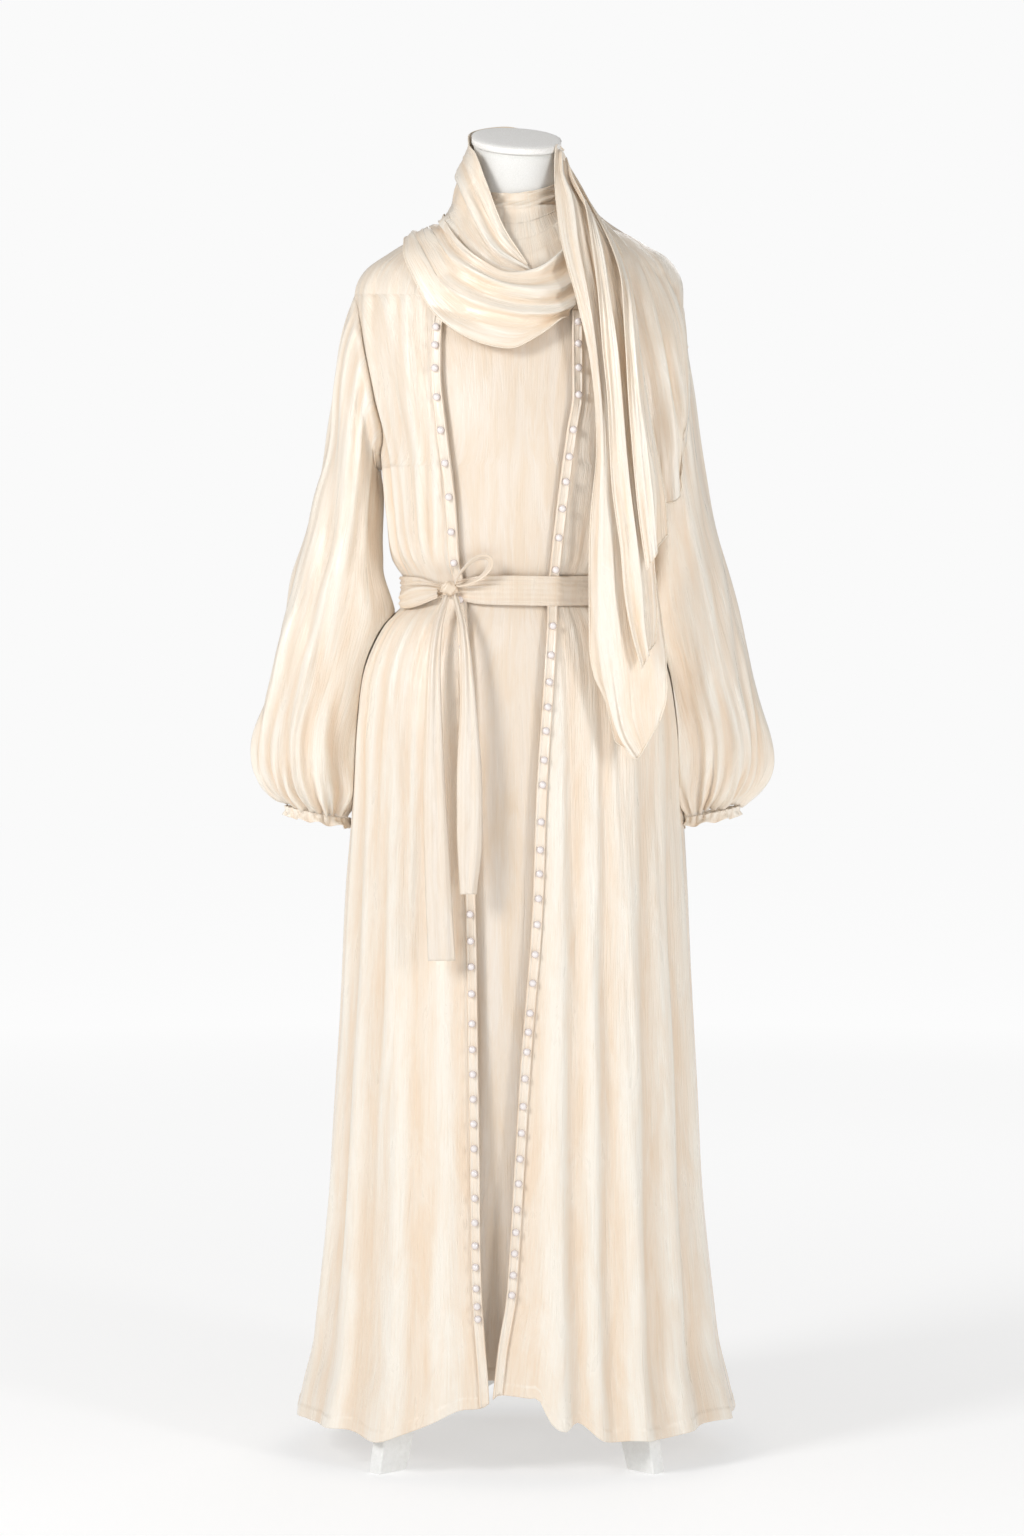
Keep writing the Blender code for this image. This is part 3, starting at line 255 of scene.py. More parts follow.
COWL_LINES = ridges(
    ((74, 30, 1452), (48, 76, 1458), (-4, 87.5, 1452), (-64, 64, 1443), (-83.5, 12, 1443),
     (-81.5, -55, 1428), (-66.5, -89, 1403), (-40, -110, 1379), (-8, -115, 1365.5), (22, -113, 1370),
     (48, -101, 1388), (62, -86, 1405)),
    ((84, 34, 1436), (54, 85, 1436), (-4, 103, 1434), (-68, 78, 1431), (-102, 12, 1430), (-93, -57, 1410),
     (-76, -95, 1383), (-44, -119, 1361), (-10, -127, 1347.5), (24, -126, 1343), (54, -114, 1347),
     (70, -103, 1360)),
    ((94, 38, 1426), (60, 91, 1412), (-4, 111, 1406), (-78, 85, 1408), (-113, 12, 1420), (-103, -62, 1386),
     (-83, -101, 1352), (-52, -124, 1331), (-20, -133, 1320), (12, -134, 1315), (46, -124, 1318),
     (68, -113, 1328)),
    ((100, 42, 1421), (64, 94, 1392), (-4, 115, 1372), (-90, 88, 1378), (-123, 10, 1414),
     (-115, -63, 1366), (-96, -102, 1322), (-70, -123, 1298), (-40, -130, 1283), (-8, -133, 1277),
     (22, -131, 1290), (52, -122, 1312)),
)
# The ridges of the snug wrap, a closed ring: their heights at the front and at the back, and how
# far each stands off the neck
WRAP_FOLDS = millimetres(
    "front_height back_height stand_off",
    (1460, 1482, 2.3), (1444, 1474, 7), (1424, 1466, 10), (1402, 1460, 16), (1382, 1455, 21.5),
    (1362, 1450, 32),
)
WRAP_STRETCH = 1.10  # its depth from front to back over its width
# The hanging end runs from the left of the neck down the front, in three overlapping layers
TAIL_LINES = ridges(
    ((50, 32, 1520), (55, 2, 1517), (47.2, -23, 1520), (44, -48, 1487), (45.4, -75, 1447),
     (52, -108, 1395), (69.7, -138, 1324), (84.3, -147, 1259), (91, -150, 1161), (84.3, -146, 1085),
     (82.1, -143, 1007), (82.1, -146, 945), (87.7, -149, 905), (98.9, -151, 879), (111.3, -153, 832)),
    ((59, 32, 1496), (58, 2, 1504), (53, -23, 1512), (54, -50, 1485), (63.8, -80, 1454),
     (71.3, -115, 1395), (83.3, -147, 1324), (92.1, -157, 1259), (98.8, -160, 1161), (97.7, -157, 1084),
     (97.8, -154, 1007), (101.1, -156, 945), (108.9, -158, 890), (119, -160, 839), (134.8, -161, 813)),
    ((66, 34, 1468), (64, 2, 1480), (57.5, -21, 1500), (63.1, -45, 1474), (80.1, -70, 1442),
     (95.5, -100, 1396), (108.6, -128, 1325), (118.5, -137, 1260), (133.1, -142, 1162),
     (145.7, -140, 1085), (155.9, -139, 1026), (163.8, -141, 972), (169.4, -143, 921), (169.3, -145, 879),
     (161.3, -147, 854)),
)
MIDDLE_LAYER_LINES = ridges(
    ((57.5, -22, 1505), (65, -52, 1478), (77.6, -81, 1447), (86.1, -118, 1391), (92.4, -145, 1334),
     (96.7, -158, 1278), (102.2, -165, 1218), (107.8, -166, 1117), (116.8, -164, 1052), (122.5, -163, 993),
     (129.2, -163, 957), (141, -164, 914)),
    ((59, -21, 1500), (68, -51, 1473), (84.5, -79, 1439), (97.6, -115, 1392), (106, -143, 1334),
     (113.6, -157, 1278), (119.1, -163, 1218), (128.1, -165, 1117), (136, -164, 1052), (141.6, -163, 993),
     (145, -163, 957), (149.5, -163, 929)),
    ((60, -19, 1495), (70, -46, 1467), (90.4, -70, 1430), (104.7, -101, 1393), (115.4, -128, 1335),
     (125.3, -139, 1279), (133, -146, 1218), (145.4, -149, 1117), (153.3, -150, 1052), (157.8, -151, 1003),
     (160, -152, 975), (157.7, -153, 943)),
)
TOP_LAYER_LINES = ridges(
    ((61, -20, 1494), (77, -52, 1462), (92.7, -77, 1430), (108.2, -106, 1395), (117.7, -134, 1358),
     (121.6, -156, 1297), (125.8, -167, 1217), (131.3, -170, 1149), (138, -170, 1082), (146.4, -169, 1025)),
    ((62, -19, 1491), (80, -49, 1458), (97.4, -73, 1427), (115.2, -101, 1391), (128, -132, 1345),
     (134.2, -153, 1286), (140.6, -165, 1218), (147.1, -169, 1161), (153.8, -169, 1099),
     (158.3, -168, 1045)),
    ((63, -15, 1487), (81.2, -42, 1453), (101, -62, 1422), (121.1, -84, 1386), (134, -113, 1334),
     (141.5, -130, 1276), (149, -142, 1219), (157.9, -148, 1162), (166.8, -151, 1107), (170.7, -152, 1065)),
)
# The wide fall lies over the left shoulder, front to back
FALL_LINES = ridges(
    ((69, -11.5, 1466), (87.2, -39, 1437), (101, -65, 1405), (104.6, -85.5, 1366), (120, -105, 1295),
     (134, -109, 1220), (143, -111, 1160), (150, -112, 1102)),
    ((69, -1, 1466), (98, -30, 1433), (125, -55, 1404), (148, -80, 1362), (164, -98, 1300),
     (174, -102, 1245), (182, -102, 1190), (187, -100, 1110)),
    ((69, 12, 1466), (104, -12, 1431), (140, -32, 1405), (171, -53, 1366), (189, -68, 1318),
     (196, -76, 1276), (199, -81, 1236), (193, -87, 1172)),
    ((67, 28, 1466), (107, 22, 1430), (144, 16, 1407), (175, 7, 1382), (188.5, -2, 1352), (195, -6, 1328),
     (197.5, -10, 1306), (198.5, -14, 1288)),
    ((62, 50, 1468), (98, 64, 1428), (131, 71, 1402), (158, 80, 1370), (180, 91, 1328), (190, 97, 1290),
     (195, 101, 1254), (198, 105, 1210)),
    ((46, 64, 1466), (77, 94, 1430), (102, 110, 1396), (122, 121, 1352), (137, 130, 1300),
     (146, 134, 1235), (151, 134, 1170), (152, 134, 1090)),
    ((18, 80, 1464), (38, 118, 1426), (56, 131, 1384), (72, 140, 1336), (84, 146, 1280), (92, 148, 1210),
     (96, 148, 1130), (98, 148, 1020)),
    ((-12, 83, 1460), (2, 123, 1424), (16, 136, 1380), (30, 143, 1330), (44, 147, 1270), (54, 148, 1200),
     (62, 148, 1130), (70, 148, 1065)),
)
# The belt's hanging ends: their lines, and their widths from the knot down in millimetres
BELT_ENDS = (
    ("long", ((-80, -108.5, 996.8), (-90, -126, 960), (-94.5, -142, 900), (-93.5, -156, 800),
              (-90, -166, 700), (-84.5, -174, 585)), (8, 15.5, 21.5, 26.5, 29.5, 31)),
    ("short", ((-70.3, -108.5, 996.8), (-61, -134, 960), (-56, -150, 900), (-53.5, -162, 800),
               (-53, -169, 720), (-54.5, -174, 660)), (7, 12, 19, 28, 29, 19)),
)
# The belt's pleats: place and half width across it, and rise
BELT_PLEATS = (
    (0.42, 0.05, 0.0022), (0.27, 0.05, 0.0026), (0.12, 0.05, 0.0024), (-0.10, 0.14, 0.0030),
    (-0.40, 0.07, 0.0022),
)

# Where the pearls sit on each beaded edge, as heights from the top down
PEARLS_RIGHT = (
    1.3029, 1.2821, 1.2555, 1.2222, 1.1845, 1.1471, 1.1087, 1.0693, 1.0342, 0.9925, 0.9694, 0.9386, 0.9080,
    0.8774, 0.8469, 0.8163, 0.7858, 0.7554, 0.7250, 0.6957, 0.6653, 0.6361, 0.6058, 0.5767, 0.5464, 0.5128,
    0.4838, 0.4558, 0.4280, 0.4001, 0.3723, 0.3444, 0.3167, 0.2889, 0.2612, 0.2335, 0.2047, 0.1793, 0.1616,
)
PEARLS_LEFT = (
    1.3088, 1.2832, 1.2555, 1.2245, 1.1845, 1.1538, 1.1257, 1.0952, 1.0625, 1.0263, 0.9625, 0.9295, 0.8989,
    0.8706, 0.8435, 0.8107, 0.7825, 0.7407, 0.7092, 0.6822, 0.6541, 0.6249, 0.5912, 0.5587, 0.5251, 0.5039,
    0.4815, 0.4514, 0.4201, 0.3901, 0.3611, 0.3333, 0.3044, 0.2778, 0.2501, 0.2191, 0.1881,
)


def smooth(at, knots, values):
    """A curve through the knots: cubic pieces whose slope at a knot is that of the chord between
    its neighbours, level where the values turn. The values may be whole points or rings."""
    at, knots, values = (np.asarray(v, float) for v in (at, knots, values))
    at = np.clip(at, knots[0], knots[-1])
    deep = (1,) * (values.ndim - 1)
    chord = np.diff(values, axis=0) / np.diff(knots).reshape(-1, *deep)
    slope = np.concatenate([chord[:1], (chord[1:] + chord[:-1]) / 2, chord[-1:]])
    slope[1:-1][chord[1:] * chord[:-1] <= 0] = 0
    i = np.clip(np.searchsorted(knots, at, side="right") - 1, 0, len(knots) - 2)
    span = (knots[i + 1] - knots[i]).reshape(at.shape + deep)
    t = (at - knots[i]).reshape(at.shape + deep) / span
    start = values[i] * (1 + 2 * t) * (1 - t) ** 2 + slope[i] * span * t * (1 - t) ** 2
    return start + values[i + 1] * t**2 * (3 - 2 * t) - slope[i + 1] * span * t**2 * (1 - t)


def run_through(knots, count):
    """A smooth run through points, or through rings, at even steps of its mean length."""
    knots = np.asarray(knots, float)
    step = np.linalg.norm(np.diff(knots, axis=0), axis=-1).reshape(len(knots) - 1, -1).mean(1)
    length = np.concatenate([[0], np.cumsum(step)])
    return smooth(np.linspace(0, length[-1], count), length, knots)


def ease(t):
    """0 to 1 with level ends."""
    t = np.clip(t, 0, 1)
    return t * t * (3 - 2 * t)


def bell(away):
    """1 in the middle, falling off like a soft fold's section."""
    return np.exp(-(away**2))


def fold_section(away):
    """A fold's section: a long slope up to its ridge and a steeper one down past it."""
    return bell(away * np.where(away > 0, 1.6, 0.85))


def pleat_drop(steps):
    """How deep a draped sheet lies between its ridges, at whole steps: 0 on a ridge, a sharp drop
    to 1 at 0.22 past it, and a slow way out to the next."""
    past = steps % 1
    return (past / 0.22) ** 0.5 * ((1 - past) / 0.78) ** 1.6


def signed_power(value, power):
    """The size of a value raised to a power, with the value's sign."""
    return np.sign(value) * np.abs(value) ** power


def stacked(*parts):
    """Coordinates of any shapes that fit each other, as one array of points."""
    return np.stack(np.broadcast_arrays(*parts), -1)


def unit(vectors):
    """Each vector divided by its length."""
    return vectors / np.maximum(np.linalg.norm(vectors, axis=-1, keepdims=True), 1e-9)


def turns(count):
    """Angles once round."""
    return np.linspace(0, 2 * math.pi, count, endpoint=False)


def ball(down, round_it):
    """Points of a unit ball, by the angle down from its top and the angle round it."""
    return stacked(np.sin(down) * np.cos(round_it), np.sin(down) * np.sin(round_it), np.cos(down))


def drift(coords, lengths, seed, waves=16):
    """Slow uneven relief of about -1 to 1: a seeded sum of plane cosine waves whose lengths
    along each coordinate spread round the lengths given in metres."""
    chance = np.random.default_rng(seed)
    ways = chance.normal(0, 1, (waves, len(lengths))) * 2 * math.pi / np.array(lengths)
    shifts = chance.uniform(0, 2 * math.pi, waves)
    return sum(np.cos(coords @ way + shift) for way, shift in zip(ways, shifts)) * math.sqrt(1.2 / waves)


def half_width(sections, height):
    """A body's half width at a height, read from its sections."""
    return smooth(height, sections["height"], sections["half_width"])


def half_depth(sections, height, to_front):
    """A body's depth from its middle to its front or its back, at a height."""
    front, back = (smooth(height, sections["height"], sections[side]) for side in ("front", "back"))
    return np.where(to_front, front, back)


def loft_point(sections, angle, height, inset=0.0):
    """A point on a body's face. A section is a rounded oval, its front and back half each with
    a depth of its own; the angle is 0 at the front and grows towards +X."""
    angle, height = np.broadcast_arrays(np.asarray(angle, float), np.asarray(height, float))
    across, along = np.sin(angle), np.cos(angle)
    x = (half_width(sections, height) - inset) * signed_power(across, 2 / ROUNDNESS)
    y = (half_depth(sections, height, along > 0) - inset) * signed_power(along, 2 / ROUNDNESS)
    return stacked(x, -y, height)


def edge_angle(edge, shift, height):
    """The angle at which the robe's face has the edge line's x, moved sideways by shift."""
    share = (smooth(height, edge["height"], edge["x"]) + shift) / half_width(ROBE, height)
    return np.arcsin(signed_power(np.clip(share, -0.97, 0.97), ROUNDNESS / 2))


def round_away(degrees, middle):
    """The shortest way round from the middle, in degrees."""
    return (degrees - middle + 180) % 360 - 180


def dipped(angle, height):
    """Heights of rows near the neck, which dip at the front as the necklines do."""
    share = ease((height - NECKLINE_START) / (NECK_SIDE - NECKLINE_START))
    return height - NECKLINE_DIP * share * np.maximum(np.cos(angle), 0) ** 1.5


def robe_height(angle, height):
    """Heights of the robe's rows: the lowest run along the hem line, and the rest settle to
    level rows further up."""
    near_hem = ease((HEM_SETTLES - height) / (HEM_SETTLES - HEM))
    degrees = round_away(np.degrees(angle), 0)
    return dipped(angle, height) + near_hem * (smooth(degrees, HEM_LINE["degrees"], HEM_LINE["height"]) - HEM)


def fold_height(degrees, height):
    """How far the robe's soft folds stand out: rounded ridges that lean a little, grow towards
    the hem and fade out below the belt."""
    total = np.zeros(np.broadcast(degrees, height).shape)
    for centre, top_centre, spread, rise, top in zip(*ROBE_FOLDS.values()):
        share = np.clip((top - height) / (top - HEM), 0, 1)
        middle = top_centre + (centre - top_centre) * share
        total += FOLD_SWELL * rise * share**0.8 * fold_section(round_away(degrees, middle) / spread)
    return total


def creases(degrees, along, rows):
    """Small folds as the sum of soft ridges. Each starts at its degrees round, runs from its begin
    to its end along, leans by so many degrees on the way and widens as it goes. It rises over the
    first eighth of its way and dies out from a third on."""
    total = np.zeros(np.broadcast(degrees, along).shape)
    for start, begin, end, lean, spread, widen, rise in rows:
        gone = (along - begin) / (end - begin)
        inside = np.clip(gone, 0, 1)
        away = round_away(degrees, start + lean * inside)
        shape = ease(gone / 0.12) * (1 - ease((gone - 0.35) / 0.65))
        total += rise * shape * fold_section(away / (spread + widen * inside))
    return total


def belt_gathers(seed):
    """Rows for creases: the small folds that the belt draws in, up and down from its edges."""
    draw = np.random.default_rng(seed).uniform
    rows = []
    for start in np.arange(-180, 180, 5.2):
        start = start + draw(-1.8, 1.8)
        down, up = draw(0.06, 0.34), draw(0.04, 0.15)
        spread, rise = draw(1.1, 2.0), draw(0.0006, 0.0024)
        for edge, reach, lean, widen, share in ((-0.015, -down, 3, 1.8, 1), (0.016, up, 5, 1.6, 0.8)):
            begin = WAIST + edge
            rows.append((start, begin, begin + reach, draw(-lean, lean), spread, widen, share * rise))
    return rows


def skirt_falls(seed):
    """Rows for creases: long soft falls of the skirt between its large folds."""
    draw = np.random.default_rng(seed).uniform
    return [(start + draw(-3, 3), draw(0.70, 0.97), draw(-0.9, 0.35), draw(-4, 4), draw(1.2, 2.6),
             draw(1.0, 3.5), draw(0.0006, 0.0026)) for start in np.arange(-180, 180, 8.5)]


def sleeve_gathers(seed):
    """Rows for creases on a sleeve: folds that fan up from the cuff and down from the head."""
    draw = np.random.default_rng(seed).uniform
    rows = [(start + draw(-4, 4), 1.02, 1 - draw(0.20, 0.85), draw(-20, 20), 2.6, draw(5, 14),
             draw(0.0030, 0.0080)) for start in np.arange(0, 360, 13.5)]
    return rows + [(start + draw(-8, 8), -0.02, draw(0.35, 0.95), draw(-16, 16), 4.0, draw(6, 15),
                    draw(0.0020, 0.0048)) for start in np.arange(0, 360, 26.0)]


BODICE_ROWS = [(start, BODICE_START, *rest) for start, *rest in BODICE_FOLDS]
SMALL_FOLDS = skirt_falls(23) + BODICE_ROWS + belt_gathers(11)


def round_body(angle, height, lengths, seed):
    """Slow unevenness round a body, from 0 to about 2."""
    return 1 + drift(stacked(0.2 * np.sin(angle), 0.2 * np.cos(angle), height), lengths, seed)


def robe_relief(angle, height):
    """All of the robe's relief: large folds, small folds and a slow unevenness, none of it under
    the belt or on the shoulders."""
    degrees = np.degrees(angle)
    total = fold_height(degrees, height) + creases(degrees, height, SMALL_FOLDS)
    total = total + 0.0010 * round_body(angle, height, (0.05, 0.05, 0.5), 5)
    off_belt = ease((np.abs(height - WAIST) - BELT_CLEAR) / 0.010)
    return total * off_belt * (1 - ease((height - SHOULDER_START) / 0.06))


def robe_point(angle, height, lift=0.0):
    """A point of the robe's outer face with its relief, moved out by lift."""
    rows = robe_height(angle, height)
    return loft_point(ROBE, angle, rows, -(robe_relief(angle, rows) + lift))


def slip_point(angle, height, lift=0.0):
    """A point of the slip's outer face: inside the robe by the inset table, with shallow folds
    that sink in."""
    rows = dipped(angle, height)
    inset = smooth(rows, SLIP_INSET["height"], SLIP_INSET["inset"])
    slack = ease((WAIST - rows) / 0.5)
    sunk = (0.0002 + 0.0020 * slack) * round_body(angle, rows, (0.07, 0.07, 0.9), 41)
    sunk = sunk + 0.0012 * slack * (1 + np.cos(13 * angle))
    points = loft_point(ROBE, angle, rows, inset - lift + sunk)
    points[..., 2] -= SLIP_DROP * ease((rows - SHOULDER_START) / 0.05)
    return points


def grid_normals(points, closed=False):
    """Unit normals of a grid, from the steps along it and across it."""
    across = np.roll(points, -1, 1) - np.roll(points, 1, 1) if closed else np.gradient(points, axis=1)
    return unit(np.cross(across, np.gradient(points, axis=0)))


def lifted(points, amount, outward=1, closed=False):
    """The grid moved along its outward normals by an amount for each point."""
    return points + outward * grid_normals(points, closed) * np.asarray(amount)[..., None]


def off_body(points, clearance):
    """How far outside the robe's loft a point lies, as a share of the section's radius: below 0
    is inside. The loft is read a little lower down, which raises it on the shoulders."""
    x, y, z = np.moveaxis(points, -1, 0)
    at = z - 0.8 * clearance
    wide, deep = half_width(ROBE, at) + clearance, half_depth(ROBE, at, y < 0) + clearance
    shares = (np.abs(x) / wide) ** ROUNDNESS + (np.abs(y) / deep) ** ROUNDNESS
    return np.where(z < NECK_SIDE + 0.016, shares ** (1 / ROUNDNESS) - 1, 0)


def relief_under(points):
    """The robe's relief at the place of its face that each point is over."""
    x, y, z = np.moveaxis(points, -1, 0)
    across = signed_power(x / half_width(ROBE, z), ROUNDNESS / 2)
    along = signed_power(y / half_depth(ROBE, z, y < 0), ROUNDNESS / 2)
    return robe_relief(np.arctan2(across, -along), z)


def clear_of_body(points, clearance):
    """The points, with those inside the robe's loft moved out along its slope, in steps."""
    step = 0.0005
    for _ in range(5):
        off = off_body(points, clearance)
        slope = np.stack([(off_body(points + way, clearance) - off) / step for way in step * np.eye(3)], -1)
        steep = np.maximum((slope**2).sum(-1, keepdims=True), 1e-6)
        points = points - np.minimum(off, 0)[..., None] * slope / steep
    return points


def put_mesh(name, points, polygons):
    """A smooth mesh object from points and polygons of one size each, as arrays."""
    mesh = bpy.data.meshes.new(name)
    points = np.asarray(points, np.float32).reshape(-1, 3)
    mesh.vertices.add(len(points))
    mesh.vertices.foreach_set("co", points.ravel())
    corners = np.concatenate([np.asarray(p, np.int32).ravel() for p in polygons])
    sizes = np.concatenate([np.full(len(p), np.shape(p)[1], np.int32) for p in polygons])
    mesh.loops.add(len(corners))
    mesh.loops.foreach_set("vertex_index", corners)
    mesh.polygons.add(len(sizes))
    mesh.polygons.foreach_set("loop_start", np.concatenate([[0], np.cumsum(sizes)[:-1]]).astype(np.int32))
    mesh.polygons.foreach_set("loop_total", sizes)
    mesh.update(calc_edges=True)
    mesh.shade_smooth()
    made = bpy.data.objects.new(name, mesh)
    bpy.context.scene.collection.objects.link(made)
    return made


def as_piece(made, material, node=None):
    """Gives a mesh its material and its body, and hides the solid it replaces, if any."""
    made.data.materials.append(material)
    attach(made, "root")
    if node:
        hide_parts(node)
    return made


def grid_quads(rows, columns, closed=False):
    """A grid's quads, with the row and column of each; closed joins last to first."""
    r, c = np.meshgrid(np.arange(rows - 1), np.arange(columns if closed else columns - 1), indexing="ij")
    r, c = r.ravel(), c.ravel()
    n = (c + 1) % columns
    quads = np.stack([r * columns + c, r * columns + n, (r + 1) * columns + n, (r + 1) * columns + c], 1)
    return quads, r, c


def painted_fold_shade(points, closed, outward):
    """1 on ridges, 0 in valleys and 0.5 where a sheet is even: how far a point stands out from the
    middle of its neighbours 14 mm away on both sides, as a curvature across the grid. The satins
    use it to paint shade into the valleys and a paler tone onto the ridges."""
    pitch = np.linalg.norm(np.diff(points, axis=1), axis=2).mean()
    reach = max(1, round(0.014 / pitch))
    wide = np.pad(points, ((0, 0), (reach, reach), (0, 0)), "wrap" if closed else "edge")
    middle = (wide[:, 2 * reach:] + wide[:, :-2 * reach]) / 2
    out = ((points - middle) * outward * grid_normals(points, closed)).sum(-1) / (reach * pitch) ** 2 * 2
    return 0.5 + 0.5 * np.tanh((out - 5) / 34)


def cloth(name, points, material, node=None, closed=False, wall=CLOTH, outward=1):
    """A sheet from a grid of points on its outer face, with a thin wall. Its map is laid out in
    metres of cloth: across by the grid's mean width, along by its mean length."""
    rows, columns = points.shape[:2]
    quads, r, c = grid_quads(rows, columns, closed)
    around = np.concatenate([points, points[:, :1]], 1) if closed else points
    pitch = np.linalg.norm(np.diff(around, axis=1), axis=2).mean(0)
    width = np.concatenate([[0], np.cumsum(pitch)])
    step = np.linalg.norm(np.diff(points, axis=0), axis=2).mean(1)
    length = np.concatenate([[0], np.cumsum(step)])
    u = np.stack([width[c], width[c + 1], width[c + 1], width[c]], 1)
    v = np.stack([length[r], length[r], length[r + 1], length[r + 1]], 1)
    laid = np.stack([u, v], -1)
    if outward < 0:
        quads, laid = quads[:, ::-1], laid[:, ::-1]
    made = put_mesh(name, points, [quads])
    layer = made.data.uv_layers.new(name="weave")
    layer.data.foreach_set("uv", laid.astype(np.float32).ravel())
    # the fold attribute carries painted shade for the valleys and painted paleness for the ridges
    tone = made.data.attributes.new("fold", "FLOAT", "POINT")
    tone.data.foreach_set("value", painted_fold_shade(points, closed, outward).astype(np.float32).ravel())
    if wall:
        thick = made.modifiers.new("wall", "SOLIDIFY")
        thick.thickness = wall
        thick.offset = -1
    return as_piece(made, material, node)


def tubes(name, paths, radius, material, sides=6):
    """Fine round tubes with closed ends as one mesh, along (path, direction across it) pairs:
    rings square to the path, spanned by that direction and its normal."""
    points, polygons, first = [], [], 0
    turn = turns(sides)[None, :, None]
    for path, across in paths:
        step = unit(np.gradient(path, axis=0))
        side = unit(np.cross(step, across))
        other = np.cross(step, side)
        rings = path[:, None] + radius * (side[:, None] * np.cos(turn) + other[:, None] * np.sin(turn))
        points.append(rings.reshape(-1, 3))
        quads, _, _ = grid_quads(len(path), sides, True)
        last = (len(path) - 1) * sides + np.arange(sides)[None]
        polygons += [quads + first, np.arange(sides)[None, ::-1] + first, last + first]
        first += len(path) * sides
    return as_piece(put_mesh(name, np.concatenate(points), polygons), material)


def solid_loft(name, rings, material, node):
    """A closed solid through rings of equal count, from the bottom up, with flat ends."""
    rings = np.asarray(rings)
    count = rings.shape[1]
    quads, _, _ = grid_quads(len(rings), count, True)
    ends = [np.arange(count)[None, ::-1], ((len(rings) - 1) * count + np.arange(count))[None]]
    return as_piece(put_mesh(name, rings, [quads] + ends), material, node)


def srgb(code):
    """A colour given as an sRGB hex value, turned linear, with full alpha."""
    share = [int(code[i:i + 2], 16) / 255 for i in (1, 3, 5)]
    linear = [s / 12.92 if s <= 0.04045 else ((s + 0.055) / 1.055) ** 2.4 for s in share]
    return (*linear, 1.0)


def feed(tree, node, inputs):
    """Links each input that is given as a socket, and sets any other."""
    for name, value in inputs.items():
        if isinstance(value, bpy.types.NodeSocket):
            tree.links.new(value, node.inputs[name])
        else:
            node.inputs[name].default_value = value


def add(tree, kind, inputs=None, out=0, **settings):
    """Adds a node with its settings and its inputs, and gives one of its outputs."""
    made = tree.nodes.new(kind)
    for name, value in settings.items():
        setattr(made, name, value)
    feed(tree, made, inputs or {})
    return made.outputs[out]


def new_material(name, code, roughness, ior=1.45):
    """A material with its shader set to its plain colour, roughness and index of refraction."""
    made = bpy.data.materials.new(name)
    made.use_nodes = True
    made.diffuse_color = srgb(code)
    shader = made.node_tree.nodes["Principled BSDF"]
    feed(made.node_tree, shader, {"Base Color": srgb(code), "Roughness": roughness, "IOR": ior})
    return made, made.node_tree, shader


def woven(name, light, shade, rough, slub, patch, relief, gloss):
    """Satin cloth on a piece's own map: noise stretched along the cloth for its slubs, broader noise
    for crushed patches, which also change the gloss, and a fine grain of threads. The three are
    added up for the bump. The colour also carries painted shade in the valleys of the folds and a
    painted paler tone on their ridges, read from the fold attribute."""
    made, tree, shader = new_material(name, light, rough)
    place = add(tree, "ShaderNodeUVMap", uv_map="weave")
    along, crushed, grain = (add(tree, "ShaderNodeMapping", {"Vector": place, "Scale": scale})
                             for scale in (SLUBS, PATCHES, THREADS))
    slubs = add(tree, "ShaderNodeTexNoise", {"Vector": along, "Scale": 1.0, "Detail": 3.0, "Roughness": 0.6})
    patches = add(tree, "ShaderNodeTexNoise", {"Vector": crushed, "Scale": 1.0, "Detail": 4.0,
                                               "Roughness": 0.6, "Distortion": 0.5})
    threads = add(tree, "ShaderNodeTexNoise", {"Vector": grain, "Scale": 1.0, "Detail": 1.0})
    fold = add(tree, "ShaderNodeAttribute", out="Fac", attribute_name="fold")
    # valley: painted shade in the folds' valleys and a painted paler tone on their ridges, added to the
    # streaks and blotches
    streak, blotch, valley, uneven = (
        add(tree, "ShaderNodeMapRange", {"Value": value, "From Min": low, "From Max": high,
                                         "To Min": bottom, "To Max": top})
        for value, low, high, bottom, top in (
            (slubs, 0.30, 0.75, 0.0, slub), (patches, 0.40, 0.62, 0.0, patch), (fold, 0.9, 0.1, -0.15, 0.38),
            (patches, 0.3, 0.7, rough - 0.13, rough + 0.16)))
    both = add(tree, "ShaderNodeMath", {0: streak, 1: blotch}, operation="ADD")
    tone = add(tree, "ShaderNodeMath", {0: both, 1: valley}, operation="ADD", use_clamp=True)
    colour = add(tree, "ShaderNodeMix", {"Factor": tone, 6: srgb(light), 7: srgb(shade)}, 2, data_type="RGBA")
    raised = add(tree, "ShaderNodeMath", {0: patches, 1: 2.4, 2: slubs}, operation="MULTIPLY_ADD")
    whole = add(tree, "ShaderNodeMath", {0: threads, 1: 0.14, 2: raised}, operation="MULTIPLY_ADD")
    bump = add(tree, "ShaderNodeBump", {"Height": whole, "Strength": 0.6, "Distance": relief})
    feed(tree, shader, {
        "Base Color": colour, "Roughness": uneven, "Normal": bump, "Specular IOR Level": gloss,
        "Sheen Weight": 0.10, "Sheen Roughness": 0.35, "Sheen Tint": srgb("#FFFDF8"),
        "Coat Weight": 0.35 * gloss, "Coat Roughness": 0.26,
    })
    return made


def grained(name, light, shade, rough, size, relief):
    """A plain finish with a grain of the given size in metres, on object coordinates: noise that
    runs between two tones and is raised a little."""
    made, tree, shader = new_material(name, light, rough)
    place = add(tree, "ShaderNodeTexCoord", out="Object")
    grain = add(tree, "ShaderNodeTexNoise", {"Vector": place, "Scale": 1 / size, "Detail": 4.0,
                                             "Roughness": 0.7})
    share = add(tree, "ShaderNodeMapRange", {"Value": grain, "From Min": 0.35, "From Max": 0.7})
    colour = add(tree, "ShaderNodeMix", {"Factor": share, 6: srgb(light), 7: srgb(shade)}, 2,
                 data_type="RGBA")
    bump = add(tree, "ShaderNodeBump", {"Height": grain, "Strength": 0.5, "Distance": relief})
    feed(tree, shader, {"Base Color": colour, "Normal": bump})
    return made


